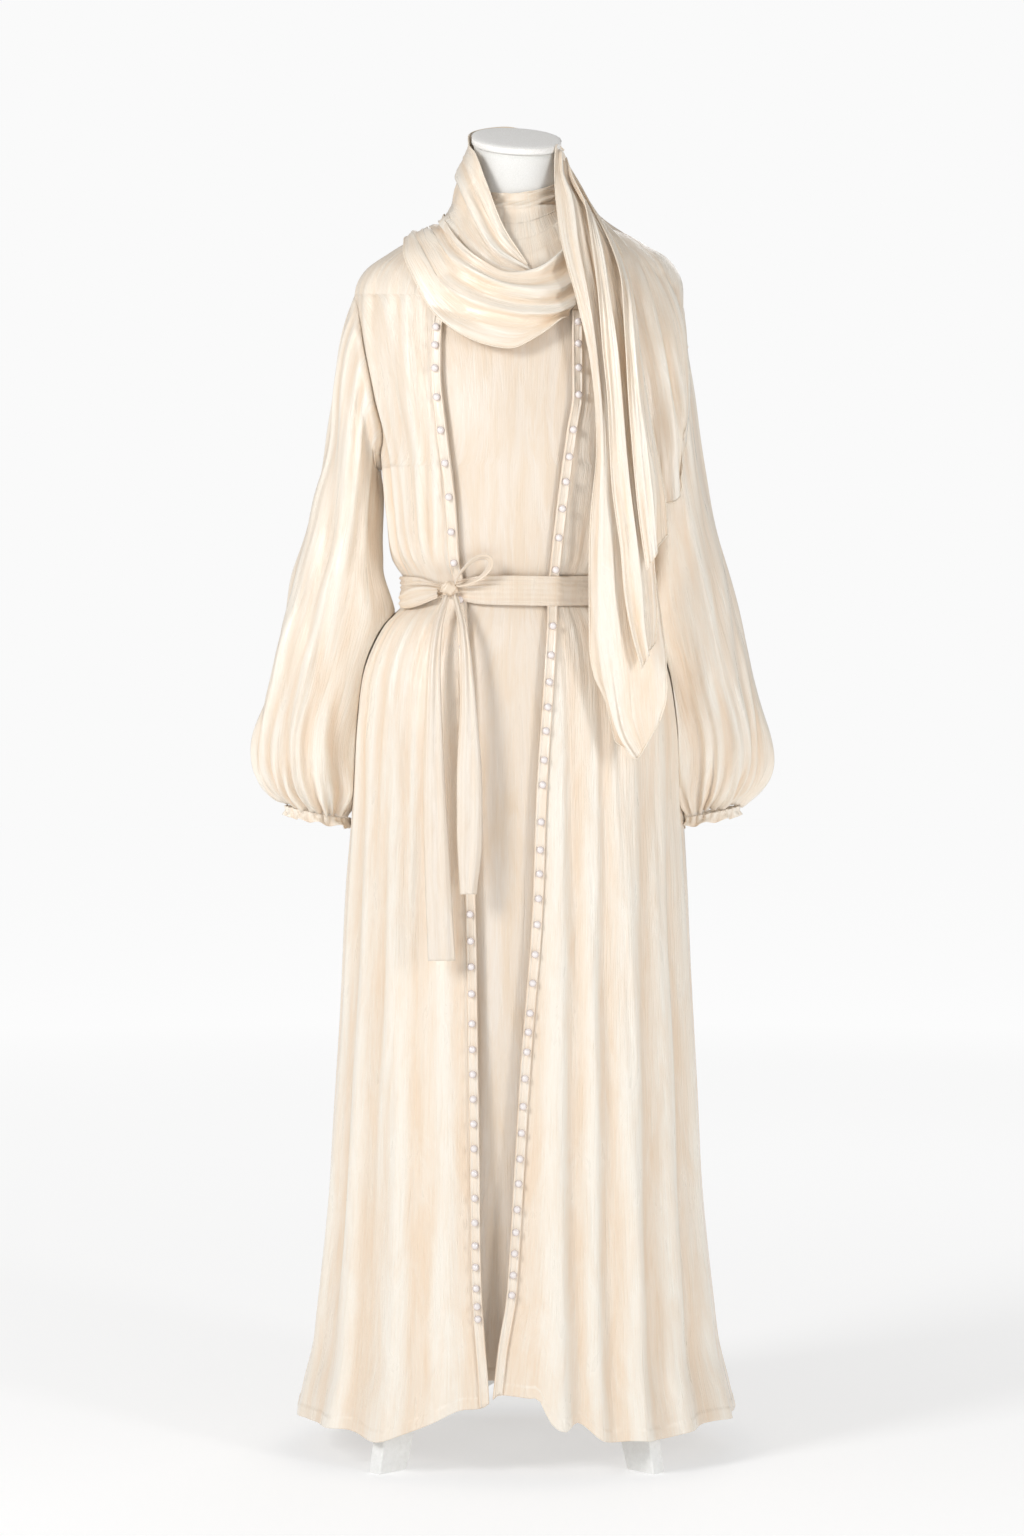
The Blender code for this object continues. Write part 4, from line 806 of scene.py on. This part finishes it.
def pearl_lustre():
    """Pearl beads: a nacre coat over a warm white body, whose colour is painted darker and greyish
    pink towards each bead's rim as the surface slants away: painted shade at the rims."""
    made, tree, shader = new_material("bead_nacre", "#F6EFEA", 0.24, 1.53)
    # painted shade: the beads' colour darkens to greyish pink towards their rims
    rim_shade_slant = add(tree, "ShaderNodeLayerWeight", {"Blend": 0.35}, "Facing")
    colour = add(tree, "ShaderNodeMix", {"Factor": rim_shade_slant, 6: srgb("#F3ECEA"), 7: srgb("#C6B5B2")}, 2,
                 data_type="RGBA")
    feed(tree, shader, {"Base Color": colour, "Coat Weight": 0.7, "Coat Roughness": 0.08})
    return made


# Crepe-backed satin in cream: a soft gloss along the folds, lengthwise slubs, crushed patches
ROBE_SATIN = woven("crepe_satin_robe", "#F8F0E3", "#EDD4B8", 0.36, 0.30, 0.30, 0.0018, 0.85)
# A smoother satin lining dress: calmer streaks, a wider soft gloss
SLIP_SATIN = woven("satin_slip", "#EEE4D8", "#E3CAAB", 0.38, 0.25, 0.30, 0.0009, 0.55)
# Fine satin scarf: brighter gloss, deeper crushed patches
SCARF_SATIN = woven("satin_scarf", "#F9F1E4", "#EED5B8", 0.32, 0.30, 0.34, 0.0014, 0.85)
# The belt is cut from a satin like the scarf's, pressed into pleats
BELT_SATIN = woven("satin_belt", "#EEE3D5", "#E1C9AC", 0.36, 0.30, 0.30, 0.0008, 0.70)
# Close ribbed strip under the pearls, a little duller and darker than the cloth
STRIP = grained("ribbed_strip", "#E9DCCD", "#CDBBA6", 0.62, 0.0012, 0.0004)
# The rolled hem is the scarf's satin turned over a thread: its crest catches the light
HEM_ROLL = grained("rolled_hem_satin", "#F8EDDD", "#EBDAC4", 0.40, 0.002, 0.0002)
# Jersey over the form: matt, even, off-white
JERSEY = grained("cotton_jersey", "#F2F1EE", "#E6E5E1", 0.70, 0.0011, 0.0003)
# Woven canvas on the cap: whiter, with a visible grain
CANVAS = grained("cap_canvas", "#FFFEFC", "#ECE9E4", 0.80, 0.0013, 0.0006)
# White enamel sprayed on board: a faint orange peel and an even soft gloss
ENAMEL = grained("sprayed_enamel", "#F7F7F5", "#EDEDEA", 0.38, 0.006, 0.0002)
NACRE = pearl_lustre()


def panel_rows(bottom, count):
    """Row heights of a panel from its shoulder down, close together at the armhole's tips and
    at the hem."""
    return np.concatenate([
        np.linspace(NECK_SIDE, ARMHOLE_TOP, 20)[:-1],
        ARMHOLE_MIDDLE + ARMHOLE_REACH * np.cos(np.linspace(0, math.pi, 53)),
        np.linspace(UNDERARM, bottom + 0.018, count)[1:],
        np.linspace(bottom + 0.018, bottom, 13)[1:],
    ])


def side_angle(height, bulge):
    """The angle of a panel's side edge: the side and shoulder seams, and the armhole between."""
    across = np.clip((height - ARMHOLE_MIDDLE) / ARMHOLE_REACH, -1, 1)
    return SEAM_ANGLE - bulge * np.sqrt(1 - across**2)


def panel(name, point_at, rows, angles, bottom, material, node, outward, wall=CLOTH):
    """A panel of cloth over rows of a face, with its turned hem proud at the bottom."""
    turned = HEM_PROUD * (1 - ease((rows - bottom - HEM_DEPTH) / 0.002))
    return cloth(name, point_at(angles, rows[:, None], turned[:, None]), material, node, False, wall, outward)


def robe_front(side, word, edge):
    """A front: rows of the robe's face from the beaded edge round to the side seam."""
    rows = panel_rows(HEM, 185)
    near = edge_angle(edge, -side * TRIM_WIDTH / 2, rows)
    far = side * side_angle(rows, ARMHOLE_FRONT)
    angles = near[:, None] + (far - near)[:, None] * np.linspace(0, 1, 86)
    return panel(f"front_{word}_cloth", robe_point, rows, angles, HEM, ROBE_SATIN, f"robe_front_{word}",
                 -side)


def robe_back():
    """The back: rows of the robe's face from side seam to side seam."""
    rows = panel_rows(HEM, 175)
    angles = math.pi + side_angle(rows, ARMHOLE_BACK)[:, None] * np.linspace(-1, 1, 120)
    return panel("back_cloth", robe_point, rows, angles, HEM, ROBE_SATIN, "robe_back", -1)


def slip_panel(word, middle, columns):
    """The slip's front or back: rows of its face between its side seams, round the middle angle."""
    rows = panel_rows(SLIP_HEM, 150)
    far = side_angle(rows, 0.9 * ARMHOLE_FRONT) - 0.004
    angles = middle + far[:, None] * np.linspace(-1, 1, columns)
    return panel(f"slip_{word}_cloth", slip_point, rows, angles, SLIP_HEM, SLIP_SATIN, f"slip_{word}", -1, 0)


def sleeve_rings(columns, turn, side):
    """A sleeve's rings: ovals between their outer and inner points, 0 at the outer one."""
    outer_x, outer_z, inner_x, inner_z, middle_y, depth = (column[:, None] for column in columns.values())
    x, z = (((outer + inner) + (outer - inner) * np.cos(turn)) / 2
            for outer, inner in ((outer_x, inner_x), (outer_z, inner_z)))
    y = middle_y - SLEEVE_FORWARD * ease((ELBOW - z) / 0.2) - depth * np.sin(turn)
    return stacked(side * x * (LEFT_SLEEVE_SHARE if side > 0 else 1), y, z)


def armhole_ring(side, turn):
    """The sleeve's first ring, on the armhole's oval."""
    bulge = np.where(np.sin(turn) >= 0, ARMHOLE_FRONT, -ARMHOLE_BACK) * np.abs(np.sin(turn))
    return robe_point(side * (math.pi / 2 - bulge), ARMHOLE_MIDDLE + ARMHOLE_REACH * np.cos(turn))


def gathered(turn):
    """Sharp small pleats round the cuff's gathered edge: rounded ridges with narrow valleys."""
    return np.abs(np.sin(turn * CUFF_PLEATS / 2 + 0.5 * np.sin(3 * turn))) ** 0.6


def sleeve(side, word, seed):
    """A balloon sleeve: from the armhole it turns out over the shoulder, fills with gathers, leans
    on the skirt and is drawn in at the cuff."""
    turn = turns(SLEEVE_COLUMNS) + math.pi
    head = armhole_ring(side, turn)
    low = ease((ARMHOLE_TOP - head[:, 2:]) / (ARMHOLE_TOP - UNDERARM))
    # The second ring lies just outside the seam, where the cloth turns over it
    turned = head + low * (side * 0.0075, 0, -0.003) + (1 - low) * (side * 0.004, 0, -0.010)
    turned[:, 1] -= 0.0065 * np.sin(turn)
    points = run_through([head, turned, *sleeve_rings(SLEEVE, turn, side)], SLEEVE_ROWS)
    share = np.linspace(0, 1, SLEEVE_ROWS)[:, None]
    relief = creases(np.degrees(turn), share, sleeve_gathers(seed))
    relief = relief + 0.0052 * gathered(turn) * ease((share - 0.78) / 0.20)
    relief = relief + 0.0022 * (1 + drift(points, (0.06, 0.06, 0.40), seed + 1)) * ease(share / 0.2)
    points = lifted(points, (relief - 0.008 * ease(share / 0.3)) * ease(share / 0.04), side, True)
    leans = ease((-np.cos(turn) - 0.1) / 0.9) * ease((share - 0.35) / 0.2) * (1 - ease((share - 0.92) / 0.08))
    points[..., 0] -= side * SLEEVE_LEAN * leans
    points = clear_of_body(points, (relief_under(points) + SLEEVE_GAP) * ease((share - 0.02) / 0.10))
    return cloth(f"sleeve_{word}_cloth", points, ROBE_SATIN, f"sleeve_{word}", True, outward=side)


def cuff(side, word, seed):
    """The elastic cuff: a gathered band that flares into a small frill."""
    turn = turns(SLEEVE_COLUMNS) + math.pi
    points = run_through(sleeve_rings(CUFF, turn, side), CUFF_ROWS)
    flare = ease((np.linspace(0, 1, CUFF_ROWS)[:, None] - 0.40) / 0.6)
    pleats = 0.0034 * gathered(turn) * (1 - 0.85 * flare)
    lobes = np.cos(11 * turn + 1.2 * np.sin(2 * turn + seed))
    points = lifted(points, pleats + (0.0034 + 0.0034 * lobes) * flare, side, True)
    points[..., 2] -= (0.0016 - 0.0016 * lobes) * flare
    points = clear_of_body(points, relief_under(points) + SLEEVE_GAP)
    return cloth(f"cuff_{word}_cloth", points, ROBE_SATIN, f"cuff_{word}", True, outward=side)


def pearls(name, places, rings=7, sides=12):
    """Round beads as one mesh: each is a small sphere of rings of points and two poles."""
    sphere = ball(np.linspace(0, math.pi, rings + 2)[1:-1, None], turns(sides)[None])
    sphere = np.concatenate([[(0, 0, 1)], sphere.reshape(-1, 3), [(0, 0, -1)]]) * PEARL_RADIUS
    quads, _, _ = grid_quads(rings, sides, True)
    near = np.arange(sides)
    after = (near + 1) % sides
    last = (rings - 1) * sides + 1  # the last ring's first point
    top = np.stack([0 * near, near + 1, after + 1], 1)
    low = np.stack([0 * near + last + sides, last + after, last + near], 1)
    first = np.arange(len(places))[:, None, None] * len(sphere)
    polygons = [(corners + first).reshape(-1, corners.shape[1]) for corners in (quads[:, ::-1] + 1, top, low)]
    return as_piece(put_mesh(name, places[:, None] + sphere, polygons), NACRE)


def pearl_trim(word, edge, heights):
    """The strip along a front edge: a ribbed band between two narrow pipings, and its pearls."""
    rows = np.linspace(TRIM_TOP, HEM + 0.001, 380)[:, None]
    across = np.linspace(-0.5, 0.5, 17)[None]
    angles = edge_angle(edge, across * (TRIM_WIDTH - 0.0002), rows)
    piping = 0.0013 * bell((np.abs(across) - 0.41) / 0.075)
    piped = robe_point(angles, rows, 0.0010 + piping)
    band = cloth(f"trim_{word}_band", piped, ROBE_SATIN, f"pearl_trim_{word}")
    ribbed = robe_point(edge_angle(edge, across[:, ::4] * 0.0062, rows), rows, 0.0015)
    strip = cloth(f"trim_{word}_strip", ribbed, STRIP, wall=0)
    at = np.array(heights)
    places = robe_point(edge_angle(edge, 0, at), at, 0.0014 + 0.72 * PEARL_RADIUS)
    return [band, strip, pearls(f"trim_{word}_pearls", places)]


def belt_band():
    """The band round the waist: pleated along its length, drawn together at the knot."""
    around = np.linspace(0, 360, 260, endpoint=False)[None]
    angle = np.radians(around)
    near = np.minimum(around, 360 - around)
    across = np.linspace(0.5, -0.5, 25)[:, None]
    wander = 0.03 * np.sin(3 * angle + 0.4) + 0.02 * np.sin(7 * angle + 2)
    lift = sum(rise * fold_section(-(across - middle - wander) / wide) for middle, wide, rise in BELT_PLEATS)
    height = WAIST + across * BELT_WIDTH * (1 - 0.55 * bell(near / 13)) + 0.0006 * np.sin(5 * angle)
    out = BELT_LIFT + CLOTH + lift * (1 + 0.5 * bell(near / 12))
    points = loft_point(ROBE, angle + math.atan2(KNOT[0], -KNOT[1]), height, -out)
    return cloth("belt_band_cloth", points, BELT_SATIN, "belt_band", True, outward=-1)


def ribbon(name, node, path, widths, side_ways, outward, relief, columns=17):
    """A strip along a path: its width and the direction across it at each point, with relief
    as a function of the place across (-0.5 to 0.5) and along (0 to 1)."""
    across = np.linspace(-0.5, 0.5, columns)
    side_ways = np.broadcast_to(side_ways, path.shape)[:, None]
    points = path[:, None] + side_ways * (widths[:, None] * across)[..., None]
    along = np.linspace(0, 1, len(path))[:, None]
    points = lifted(points, relief(across[None], along), outward)
    return cloth(name, points, BELT_SATIN, node, outward=outward)


def belt_knot():
    """The small knot: an egg whose face is creased by the turns of the ribbon."""
    down = np.linspace(0.02, math.pi - 0.02, 31)[:, None]
    round_it = turns(48)[None]
    swell = 1 + 0.10 * np.cos(5 * round_it + 3.0 * down) - 0.05 * np.cos(3 * round_it - 5 * down)
    egg = KNOT + ball(down, round_it) * KNOT_HALF * swell[..., None]
    return solid_loft("belt_knot_cloth", egg[::-1], BELT_SATIN, "belt_knot")


def standing_loop():
    """The loop that stands up from the knot: a leaning drop shape, its cloth turned at the tip."""
    turn = np.linspace(math.radians(6), math.radians(354), 70)
    tip = np.sin(turn / 2) ** 2
    along = -LOOP_HALF_LENGTH * np.cos(turn)
    away = LOOP_HALF_WIDTH * np.sin(turn) * (0.62 + 0.38 * tip)
    cos, sin = math.cos(LOOP_LEAN), math.sin(LOOP_LEAN)
    path = KNOT + LOOP_PLACE + stacked(along * cos - away * sin, -0.30 * along, along * sin + away * cos)
    outer = np.cross(unit(np.gradient(path, axis=0)), (0, 1, 0))
    return ribbon("belt_loop_cloth", "belt_loop", path, 0.0045 + 0.0065 * tip,
                  unit((0, 1, 0) - outer * 0.75 * tip[:, None]), -1,
                  lambda a, s: 0.0009 * np.cos(2 * math.pi * 2.5 * a + 2 * s), 13)


def lying_loop():
    """The loop pressed flat on the band: a strip along the robe's face, widest in its middle."""
    share = np.linspace(0, 1, 46)
    path = loft_point(ROBE, np.linspace(-0.66, -1.25, 46), 1.000 - 0.008 * share, -LYING_LIFT)
    return ribbon("belt_flat_loop_cloth", "belt_loop_lying", path, 0.010 + 0.013 * np.sin(0.1 + 2.6 * share),
                  (0, 0, 1), 1, lambda a, s: 0.0010 * np.cos(2 * math.pi * 2.2 * a + 3 * s))


def belt_end(word, line, widths):
    """A hanging end: a bowed, lightly pleated strip along its line, with its widths spread evenly."""
    path = run_through(np.array(line) / 1000, 110)
    width = smooth(np.linspace(0, 1, 110), np.linspace(0, 1, len(widths)), np.array(widths) / 1000)
    return ribbon(f"belt_{word}_end_cloth", f"belt_tail_{word}", path, width, (1, 0, 0), -1,
                  lambda a, s: 0.0030 * (1 - 4 * a**2) + 0.0011 * np.cos(2 * math.pi * (2.1 * a + 0.6 * s)))


def draped(lines, along, between, valley, clearance, outward, seed):
    """A sheet through ridge lines. Past each ridge the cloth drops in sharply by the valley's
    depth and comes out again slowly to the next one, with finer pleats that run with it."""
    count = len(lines)
    crests = np.stack([run_through(line, along) for line in lines])
    steps = np.linspace(0, count - 1, (count - 1) * between + 1)
    grid = np.moveaxis(smooth(steps, np.arange(count), crests), 0, 1)
    spot = stacked(steps[None] * 0.03, np.linspace(0, 0.5, along)[:, None])
    uneven = np.clip(1 + 0.5 * drift(spot, (0.05, 0.16), seed), 0.1, 2)
    deep = valley * pleat_drop(steps) * ease(steps / 0.6) * uneven
    pleats = 0.0008 * drift(spot, (0.016, 0.30), seed + 1) + 0.0004 * drift(spot, (0.007, 0.14), seed + 2)
    return clear_of_body(lifted(grid, pleats - deep, outward), clearance)


def scarf_wrap():
    """The snug turn round the neck: a closed ring through its ridges, which drops in between them
    and is drawn down towards the front, where it tucks into the cowl."""
    angle = turns(160) + math.pi
    front, back, off = (column[:, None] for column in WRAP_FOLDS.values())
    height = back + (front - back) * ((1 + np.cos(angle)) / 2) ** 2.2 + 0.004 * np.sin(angle)
    radius = NECK_RADIUS + off
    rings = stacked(radius * np.sin(angle), -radius * WRAP_STRETCH * np.cos(angle), height)
    steps = np.linspace(0, len(rings) - 1, 61)
    points = smooth(steps, np.arange(len(rings)), rings)
    slanted = points - 0.35 * points[..., :1] * (0, 0, 1)
    drop = (pleat_drop(steps) * ease(steps / 0.5))[:, None]
    points = lifted(points, 0.0008 * drift(slanted, (0.12, 0.12, 0.007), 77) - 0.0062 * drop, -1, True)
    points = clear_of_body(points, 0.0036)
    made = cloth("scarf_wrap_cloth", points, SCARF_SATIN, "scarf_wrap", True, outward=-1)
    ring = np.concatenate([points[0], points[0, :1]])
    return made, tubes("scarf_wrap_hem", [(ring, ring * (1, 1, 0))], WRAP_ROLL_RADIUS, HEM_ROLL)


def scarf_sheet(word, node, hems, lines, along, between, valley, clearance, outward, seed):
    """One stretch of the scarf, with rolled hems along the named edges."""
    points = draped(lines, along, between, valley, clearance, outward, seed)
    made = cloth(f"scarf_{word}_cloth", points, SCARF_SATIN, node, outward=outward)
    normals = outward * grid_normals(points)
    edges = {"first": (slice(None), 0), "last": (slice(None), -1), "end": (-1, slice(None))}
    paths = [(points[edges[edge]], normals[edges[edge]]) for edge in hems.split()]
    return made, tubes(f"scarf_{word}_hem", paths, ROLL_RADIUS, HEM_ROLL)


# The scarf's draped stretches: word, node, rolled edges, ridge lines, points along and between the
# lines, valley depth, clearance from the body, side that faces out and seed of its unevenness
SCARF = (
    ("collar", "scarf_collar", "first", COLLAR_LINES, 120, 20, 0.0050, 0.0040, 1, 61),
    ("cowl", "scarf_cowl", "last", COWL_LINES, 150, 20, 0.0085, 0.0040, 1, 66),
    ("tail", "scarf_tail", "first last end", TAIL_LINES, 190, 22, 0.0038, 0.0040, -1, 71),
    ("tail_middle", "scarf_tail", "first last end", MIDDLE_LAYER_LINES, 170, 20, 0.0035, 0.0040, -1, 76),
    ("tail_top", "scarf_tail", "first last end", TOP_LAYER_LINES, 150, 20, 0.0035, 0.0040, -1, 81),
    ("fall", "scarf_fall", "first last end", FALL_LINES, 130, 15, 0.0055, 0.0069, -1, 86),
)


def form_ring(height, tilt=0.0, inset=0.0):
    """A ring of the form's face; tilt slopes it down towards the front."""
    ring = loft_point(FORM, turns(RING_POINTS), min(height, NECK_BASE), inset)
    roll = NECK_ROLL * tilt / NECK_TILT
    ring[:, 2] = height + ring[:, 1] * math.tan(tilt) - ring[:, 0] * math.tan(roll)
    return ring


def shoulder_ring(height):
    """A ring of the form just under the same row of the slip."""
    angle = turns(RING_POINTS)
    return loft_point(FORM, angle, dipped(angle, height) - FORM_DROP, FORM_INSET)


def dress_form():
    """The torso and its neck: rings of the form's sections up to the slanted cut."""
    rings = [form_ring(height, 0.0, 0.0005) for height in np.linspace(0.713, 1.342, 40)]
    rings += [shoulder_ring(height) for height in np.linspace(1.366, NECK_SIDE, 14)]
    top = NECK_TOP - CAP_BAND - SEAM
    rings += [form_ring(1.446 + (NECK_BASE - 1.446) * t) for t in (0, 0.33, 0.67, 1)]
    rings += [form_ring(NECK_BASE + (top - NECK_BASE) * t, t * NECK_TILT) for t in (0.25, 0.5, 0.75, 1)]
    return solid_loft("torso_and_neck", rings, JERSEY, "dress_form")


def neck_cap():
    """The padded cap: a stitched band round a disc with a domed top."""
    bottom = NECK_TOP - CAP_BAND
    profile = ((0.0, 0.0008), (0.10, -0.0012), (0.2, -0.0018), (0.5, -0.0022), (0.8, -0.0018), (0.9, -0.0010),
               (0.96, 0.0004))
    rings = [form_ring(bottom + CAP_BAND * up, NECK_TILT, out) for up, out in profile]
    rings += [form_ring(NECK_TOP + 0.0010 * (1 - (1 - share) ** 2), NECK_TILT, 0.05 * share)
              for share in (0.10, 0.25, 0.5, 0.75, 0.97)]
    made = solid_loft("cap_cloth", rings, CANVAS, "neck_cap")
    stitches = []
    for up in (0.17, 0.83):
        ring = form_ring(bottom + CAP_BAND * up, NECK_TILT, -0.0020)
        out = ring * (1, 1, 0) / NECK_RADIUS
        waved = ring + out * 0.0003 * np.cos(turns(RING_POINTS) * 24)[:, None]
        stitches.append((np.concatenate([waved, waved[:1]]), np.concatenate([out, out[:1]])))
    tubes("cap_stitches", stitches, 0.0004, JERSEY)
    return made


def leg(name, turn):
    """A tapered board from the hub out and down to its foot: an outline with rounded edges."""
    near, half = HUB_RADIUS + SEAM, FOOT_LENGTH / 2
    outline = np.array((
        (near, HUB_TOP - 0.006), (near + 0.020, HUB_TOP - 0.006), (KNEE_RADIUS + half, KNEE_HEIGHT),
        (FOOT_RADIUS + half, 0), (FOOT_RADIUS - half, 0), (KNEE_RADIUS - half, KNEE_HEIGHT - 0.036),
        (near, HUB_BOTTOM + 0.004),
    ))
    count = len(outline)
    out, up = np.tile(outline, (2, 1)).T
    side = np.repeat((-0.5, 0.5), count) * LEG_THICKNESS
    cos, sin = math.cos(turn), math.sin(turn)
    points = stacked(out * cos - side * sin, out * sin + side * cos, up)
    i = np.arange(count)
    walls = np.stack([i, (i + 1) % count, (i + 1) % count + count, i + count], 1)
    made = put_mesh(f"{name}_board", points, [i[None, ::-1], i[None] + count, walls])
    soft = made.modifiers.new("rounded", "BEVEL")
    soft.width = 0.002
    soft.segments = 3
    return as_piece(made, ENAMEL, name)


def stand():
    """Four splayed legs, the hub they meet in and the pole."""
    for i in range(4):
        leg(f"stand_leg_{i + 1}", math.radians(45 + 90 * i))
    circle = stacked(np.cos(turns(64)), np.sin(turns(64)), 0)
    for word, radius, low, high in (("pole", POLE_RADIUS, HUB_TOP + SEAM, POLE_TOP),
                                    ("hub", HUB_RADIUS, HUB_BOTTOM, HUB_TOP)):
        steps = ((low, -TURNED_EDGE), (low + TURNED_EDGE, 0), (high - TURNED_EDGE, 0), (high, -TURNED_EDGE))
        rings = [circle * (radius + out) + (0, 0, up) for up, out in steps]
        solid_loft(f"stand_{word}_turned", rings, ENAMEL, f"stand_{word}")


def studio():
    """A white floor that meets a white surround, a large soft key high in front at the viewer's left,
    a weaker tall light at the viewer's right and a soft light from behind."""
    bpy.ops.mesh.primitive_plane_add(size=30, location=(0, 0, 0))
    floor = bpy.context.object
    floor.name = "studio_floor"
    made, tree, shader = new_material("painted_floor", "#C4C4C4", 0.9)
    place = add(tree, "ShaderNodeTexCoord", out="Object")
    away = add(tree, "ShaderNodeVectorMath", {0: place}, "Value", operation="LENGTH")
    near, far = FLOOR_GLOW
    glow = add(tree, "ShaderNodeMapRange", {"Value": away, "From Max": 5.0, "To Min": near, "To Max": far})
    feed(tree, shader, {"Emission Color": (1, 1, 1, 1), "Specular IOR Level": 0.0, "Emission Strength": glow})
    floor.data.materials.append(made)
    world = bpy.data.worlds.new("surround")
    bpy.context.scene.world = world
    world.use_nodes = True
    tree = world.node_tree
    seen = add(tree, "ShaderNodeLightPath", out="Is Camera Ray")
    strength = add(tree, "ShaderNodeMapRange", {"Value": seen, "To Min": AMBIENT, "To Max": SURROUND})
    feed(tree, tree.nodes["Background"], {"Color": (1, 1, 1, 1), "Strength": strength})
    for name, place, aim, size, power in LIGHTS:
        light = bpy.data.lights.new(name, "AREA")
        light.shape = "RECTANGLE"
        light.size, light.size_y = size
        light.energy = power
        lamp = bpy.data.objects.new(name, light)
        lamp.location = place
        x, y, z = np.subtract(place, aim)
        lamp.rotation_euler = (math.atan2(math.hypot(x, y), z), 0, math.atan2(y, x) + math.pi / 2)
        bpy.context.scene.collection.objects.link(lamp)
    bpy.context.scene.view_settings.view_transform = "Standard"


def camera():
    """The photograph's view: chest-high, 4.5 m in front, a long lens tipped down a little."""
    lens = bpy.data.cameras.new("view")
    lens.sensor_fit = "VERTICAL"
    lens.sensor_height = 36
    lens.lens = CAMERA_LENS
    made = bpy.data.objects.new("view", lens)
    made.location = CAMERA_PLACE
    made.rotation_euler = (math.pi / 2 - CAMERA_DOWN, 0, 0)
    bpy.context.scene.collection.objects.link(made)
    bpy.context.scene.camera = made


camera()
studio()
form = dress_form()
neck_cap()
stand()
slips = [slip_panel("front", 0, 84), slip_panel("back", math.pi, 50)]
fronts = [robe_front(-1, "right", RIGHT_EDGE), robe_front(1, "left", LEFT_EDGE)]
back = robe_back()
sleeves = [sleeve(-1, "right", 301), sleeve(1, "left", 317)]
cuffs = [cuff(-1, "right", 5), cuff(1, "left", 6)]
trims = [pearl_trim("right", RIGHT_EDGE, PEARLS_RIGHT), pearl_trim("left", LEFT_EDGE, PEARLS_LEFT)]
band = belt_band()
knot = belt_knot()
loop = standing_loop()
flat_loop = lying_loop()
long_end, short_end = [belt_end(*row) for row in BELT_ENDS]
wound = [scarf_wrap()] + [scarf_sheet(*row) for row in SCARF]
